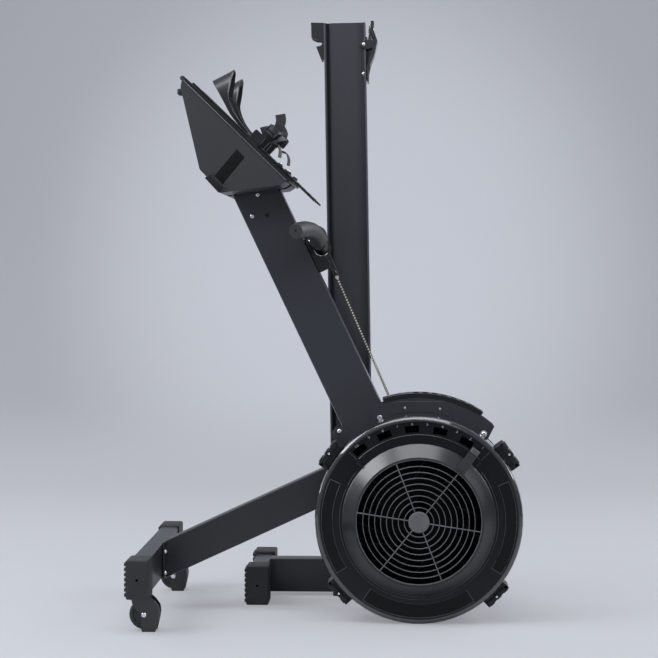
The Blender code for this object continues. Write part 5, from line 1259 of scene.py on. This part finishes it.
class ROWER_OT_footrest_trim(Operator):
    """Adds the footrest's side strips, stops, bumpers, end bead, lips and strap hooks"""

    bl_idname = "rower.footrest_trim"
    bl_label = "Footrest trim"

    def execute(self, context):
        self.strips()
        self.bumpers()
        self.stops()
        self.lips()
        self.hooks()
        return {"FINISHED"}

    def bumpers(self):
        """The two rubber bumpers under the heel end, and the round bead along it."""
        shape = bmesh.new()
        for y in (-0.137, 0.137):
            block(shape, place(-0.508, y, 1.15), FAR, UP, -RIGHT, (0.034, 0.013, 0.014), 0.003, 3)
        tube(shape, [on_board(-0.001, 0.0027, y) for y in (-0.1655, 0.1655)], 0.0052, 20)
        piece("footrest_bumpers", shape, "cap_rubber", 40)

    def stops(self):
        """The raised stop low on each side."""
        shape = bmesh.new()
        foot = ((-0.08905, 0.00356), (-0.07425, 0.01266), (-0.04995, -0.01534), (-0.05945, -0.02834))
        for word, facing in SIDES:
            outline = self.on_side(word, facing, (-0.068, -0.005), foot)
            slab(shape, [corner - facing * 0.001 for corner in outline], facing * 0.0052, 0.0009)
        piece("footrest_stops", shape, "dark_plastic", 40)

    def lips(self):
        """The round lips along the footboard's two sides."""
        shape = bmesh.new()
        length = math.hypot(BOARD_END[0] - BOARD_TOP[0], BOARD_END[1] - BOARD_TOP[1])
        for y in (-0.164, 0.164):
            tube(shape, [on_board(run, -0.0004, y) for run in (0.004, length - 0.003)], 0.0026, 12)
        piece("footrest_lips", shape, "lip_plastic", 40)

    def hooks(self):
        """The strap hooks near the footboard's lower end, each with its clip."""
        shape, clips = bmesh.new(), bmesh.new()
        for y in (-0.15, 0.15):
            for run in (0.279, 0.299):
                base = on_board(run, 0.0085, y)
                block(shape, base, BOARD_RUN, FAR, BOARD_OUT, (0.012, 0.022, 0.0085), 0.0012)
                base += BOARD_OUT * 0.008
                block(clips, base, BOARD_RUN, FAR, BOARD_OUT, (0.006, 0.015, 0.003), 0.001)
        piece("strap_hooks", shape, "dark_plastic", 40)
        piece("strap_hook_clips", clips, "zinc_plating", 40)

    def strips(self):
        """The ribbed strip in the recess of each side."""
        recess = ((-0.02025, 0.06556), (-0.06865, 0.00756), (-0.05135, -0.01144), (-0.00235, 0.04786))
        middle = (-0.0355, 0.027)
        fit = 0.955
        inside = [
            (middle[0] + (x - middle[0]) * fit, middle[1] + (z - middle[1]) * fit) for x, z in recess]
        shape = bmesh.new()
        ribs = 15
        for word, facing in SIDES:
            outline = self.on_side(word, facing, middle, inside)
            slab(shape, outline, facing * 0.0009)
            for k in range(ribs):
                share = (k + 0.5) / ribs
                a = outline[0].lerp(outline[1], share)
                b = outline[3].lerp(outline[2], share)
                size = ((b - a).length * 0.86, 0.0022, 0.0006)
                base = a.lerp(b, 0.5) + facing * 0.0008
                block(shape, base, b - a, facing.cross(b - a), facing, size, 0.0002, 1)
        piece("footrest_strips", shape, "inset_plastic", 40)

    def on_side(self, word, facing, middle, points):
        """Points given in X and Z from the beam's upper end, as deep as the footrest's side is."""
        spots = [place(BEAM_END[0] + x, 0.0, BEAM_END[1] + z) for x, z in (middle, *points)]
        depth = seated((f"footrest_housing_{word}",), spots[0], facing).y
        return [Vector((spot.x, depth, spot.z)) for spot in spots[1:]]


class ROWER_OT_lever_cheeks(Operator):
    """Fills the lock lever out between its strip and the rail, with its base plate and wire bail"""

    bl_idname = "rower.lever_cheeks"
    bl_label = "Lock lever cheeks"

    def execute(self, context):
        self.cheeks()
        self.base_plate()
        self.bail()
        return {"FINISHED"}

    def cheeks(self):
        """The lever's two sides."""
        side = (
            (-0.1125, 1.331), (-0.1105, 1.333), (-0.106, 1.327), (-0.1003, 1.315), (-0.0972, 1.2994),
            (-0.099, 1.2807), (-0.1062, 1.2619), (-0.1112, 1.2431), (-0.1149, 1.2244), (-0.1176, 1.208),
            (-0.1196, 1.208), (-0.1196, 1.25), (-0.1197, 1.288))
        shape = bmesh.new()
        for y in (-0.018, 0.0158):
            slab(shape, [place(x, RAIL_MID_Y + y, z) for x, z in side], FAR * 0.0022, 0.0005)
        piece("lock_lever_cheeks", shape, "black_steel", 40, "lock")

    def base_plate(self):
        """The plate on the rail that the lever closes on."""
        shape = bmesh.new()
        base = seated(("seat_rail",), on_rail(1.258, 0.0), RAIL_RIGHT) - RAIL_RIGHT * 0.0006
        block(shape, base, RAIL_UP, FAR, RAIL_RIGHT, (0.1, 0.029, 0.0044), 0.0008)
        piece("lock_lever_base", shape, "black_steel", 40, "rail_section")

    def bail(self):
        """The wire loop at the lever's upper end."""
        shape = bmesh.new()
        bends = (
            (-0.115, 1.318), (-0.114, 1.334), (-0.11, 1.342), (-0.1065, 1.34), (-0.1045, 1.325))
        route = curve_through([place(x, RAIL_MID_Y - 0.012, z) for x, z in bends], 5)
        tube(shape, route, 0.0013, 10)
        piece("lock_lever_bail", shape, "zinc_plating", 50, "lock")


class ROWER_OT_handle_cradle(Operator):
    """Adds the cradle behind the handle, the clevis at the chain's end and the grips' end rings"""

    bl_idname = "rower.handle_cradle"
    bl_label = "Handle cradle and clevis"

    def execute(self, context):
        self.cradle()
        self.clevis()
        self.grip_ends()
        return {"FINISHED"}

    def cradle(self):
        """The ribbed rest on the beam's face, with its four screws."""
        down = straight(BEAM_FACE_TOP, BEAM_FACE_LOW)
        out = Vector((-down.z, 0.0, down.x))
        top = place(BEAM_FACE_TOP[0], 0.0, BEAM_FACE_TOP[1])
        half_wide = 0.028
        side = (
            (0.09, 0.0004), (0.0915, 0.005), (0.1, 0.008), (0.142, 0.008), (0.154, 0.0078),
            (0.157, 0.0004))
        shape, screws = bmesh.new(), bmesh.new()
        outline = [top + down * a + out * b - FAR * half_wide for a, b in side]
        slab(shape, outline, FAR * 2 * half_wide, 0.001)
        for k in range(4):
            rib = top + down * (0.108 + 0.0095 * k) + out * 0.0078
            block(shape, rib, FAR, down, out, (0.05, 0.0028, 0.0009), 0.0004, 1)
        piece("handle_cradle", shape, "dark_plastic", 40)
        for a in (0.0965, 0.1495):
            for y in (-0.0215, 0.0215):
                pan_screw(screws, top + down * a + out * 0.0068 + FAR * y, out, 0.003)
        piece("cradle_screws", screws, "zinc_plating", 35)

    def clevis(self):
        """The two cheeks and the pin that join the chain to the handle's shackle."""
        shape = bmesh.new()
        start = place(CHAIN_TOP[0], 0.0, CHAIN_TOP[1])
        for y in (-0.004, 0.004):
            base = start + CHAIN_DOWN * 0.002 + FAR * y
            block(shape, base, CHAIN_DOWN, CHAIN_DOWN.cross(FAR), FAR, (0.018, 0.0072, 0.0012), 0.0005)
        pin = start + CHAIN_DOWN * FIRST_PIN - FAR * 0.0056
        lathe(shape, pin, FAR, [(0.0019, 0.0), (0.0019, 0.0112)], 14)
        piece("chain_clevis", shape, "chain_plating", 40, "handle")

    def grip_ends(self):
        """The turned-over rim and the dished middle of each grip's end."""
        profile = [
            (0.0172, -0.0006), (0.0176, 0.0004), (0.017, 0.0014), (0.0158, 0.0016), (0.0146, 0.0008),
            (0.011, 0.0004), (0.0052, 0.0004), (0.004, -0.0004), (0.0022, -0.0004)]
        for word, facing in SIDES:
            axis = Vector((-0.228, facing.y * 0.972, -0.07)).normalized()
            rim = bmesh.new()
            end = seated((f"grip_{word}",), place(-0.2585, 0.0, 0.848), facing)
            lathe(rim, end, axis, profile, 40)
            piece(f"grip_end_{word}", rim, "grip_rubber", 50, "handle")


class ROWER_OT_stage(Operator):
    """Sets the pale studio: paper floor and backdrop, soft lights and the camera"""

    bl_idname = "rower.stage"
    bl_label = "Studio and camera"

    def execute(self, context):
        self.paper()
        lamps = (
            ("key", (-2.1, -0.8, 2.6), (0.05, 0.0, 0.6), (2.0, 1.6), 66.0),
            ("front", (0.8, -3.4, 2.6), (0.1, 0.0, 0.6), (1.4, 0.8), 18.0),
            ("overhead", (0.0, -0.9, 3.3), (0.05, 0.0, 0.3), (2.6, 2.0), 62.0),
            ("side", (2.8, 0.7, 1.7), (0.1, 0.0, 0.5), (0.8, 2.0), 24.0),
            ("left_strip", (-2.5, -1.1, 1.2), (0.1, 0.0, 0.4), (0.3, 1.2), 10.0),
            ("right_strip", (2.4, -1.0, 1.6), (0.1, 0.0, 0.5), (0.3, 1.4), 11.0),
            ("behind_left", (-2.5, 2.0, 1.9), (0.1, 0.0, 0.7), (0.8, 2.4), 26.0),
            ("behind_right", (2.5, 1.9, 1.9), (0.1, 0.0, 0.7), (0.8, 2.4), 30.0))
        for lamp in lamps:
            self.softbox(*lamp)
        context.scene.world = studio_air("studio_air", (0.9, 0.93, 1.0))
        context.scene.view_settings.view_transform = "Standard"
        self.camera(context)
        return {"FINISHED"}

    def paper(self):
        """Floor and backdrop in one curved sheet."""
        shape = bmesh.new()
        front, back, left, right, top, sweep = -7.0, 3.4, -6.5, 6.8, 5.2, 1.1
        line = [(front, 0.0), (back - sweep, 0.0)]
        for k in range(1, 13):
            angle = math.radians(7.5 * k)
            line.append((back - sweep + sweep * math.sin(angle), sweep - sweep * math.cos(angle)))
        line.append((back, top))
        rows = [[shape.verts.new((x, y, z)) for y, z in line] for x in (left, right)]
        for k in range(len(line) - 1):
            shape.faces.new((rows[0][k], rows[1][k], rows[1][k + 1], rows[0][k + 1]))
        mesh = bpy.data.meshes.new("studio_paper")
        shape.to_mesh(mesh)
        shape.free()
        mesh.shade_smooth()
        mesh.materials.append(finish("studio_paper"))
        sheet = bpy.data.objects.new("studio_paper", mesh)
        bpy.context.scene.collection.objects.link(sheet)

    def softbox(self, name, spot, target, size, watts):
        """A soft lamp at a spot, turned to a target."""
        lamp = bpy.data.lights.new(name, "AREA")
        lamp.shape = "RECTANGLE"
        lamp.size, lamp.size_y = size
        lamp.energy = watts
        lamp.color = (0.94, 0.965, 1.0)
        holder = bpy.data.objects.new(name, lamp)
        holder.location = spot
        aim = Vector(target) - Vector(spot)
        holder.rotation_euler = aim.to_track_quat("-Z", "Y").to_euler()
        bpy.context.scene.collection.objects.link(holder)

    def camera(self, context):
        """The photograph's view: close to level, from the near side and a little right of the axle."""
        lens = bpy.data.cameras.new("view")
        lens.sensor_width = 36.0
        lens.lens = CAMERA_LENS
        holder = bpy.data.objects.new("view", lens)
        holder.location = CAMERA_SPOT
        holder.rotation_euler = (math.radians(90.0 - CAMERA_DOWN), 0.0, math.radians(CAMERA_YAW))
        context.scene.collection.objects.link(holder)
        context.scene.camera = holder


class ROWER_PT_rower(Panel):
    """Lists the machine's pieces and the values that shape them"""

    bl_idname = "ROWER_PT_rower"
    bl_label = "Air rowing machine"
    bl_space_type = "VIEW_3D"
    bl_region_type = "UI"
    bl_category = "Rower"

    def draw(self, context):
        for group in (context.scene.rower_colours, context.scene.rower_sizes):
            box = self.layout.box()
            for name in group.bl_rna.properties.keys():
                if name not in ("rna_type", "name"):
                    box.prop(group, name)
        column = self.layout.column(align=True)
        for operator in OPERATORS:
            column.operator(operator.bl_idname)


OPERATORS = (
    ROWER_OT_finish_frame, ROWER_OT_roller_chain, ROWER_OT_toe_straps, ROWER_OT_heel_cups,
    ROWER_OT_seat_cushion, ROWER_OT_fasteners, ROWER_OT_damper_scale, ROWER_OT_guard_rings,
    ROWER_OT_rim_clips, ROWER_OT_cover_insets, ROWER_OT_footrest_trim, ROWER_OT_lever_cheeks,
    ROWER_OT_handle_cradle, ROWER_OT_stage,
)
CLASSES = (RowerColours, RowerSizes, *OPERATORS, ROWER_PT_rower)


def register():
    for made in CLASSES:
        bpy.utils.register_class(made)
    bpy.types.Scene.rower_colours = PointerProperty(type=RowerColours)
    bpy.types.Scene.rower_sizes = PointerProperty(type=RowerSizes)


def unregister():
    del bpy.types.Scene.rower_sizes
    del bpy.types.Scene.rower_colours
    for made in reversed(CLASSES):
        bpy.utils.unregister_class(made)


def main():
    register()
    for operator in OPERATORS:
        group, name = operator.bl_idname.split(".")
        getattr(getattr(bpy.ops, group), name)()


if __name__ == "__main__":
    main()
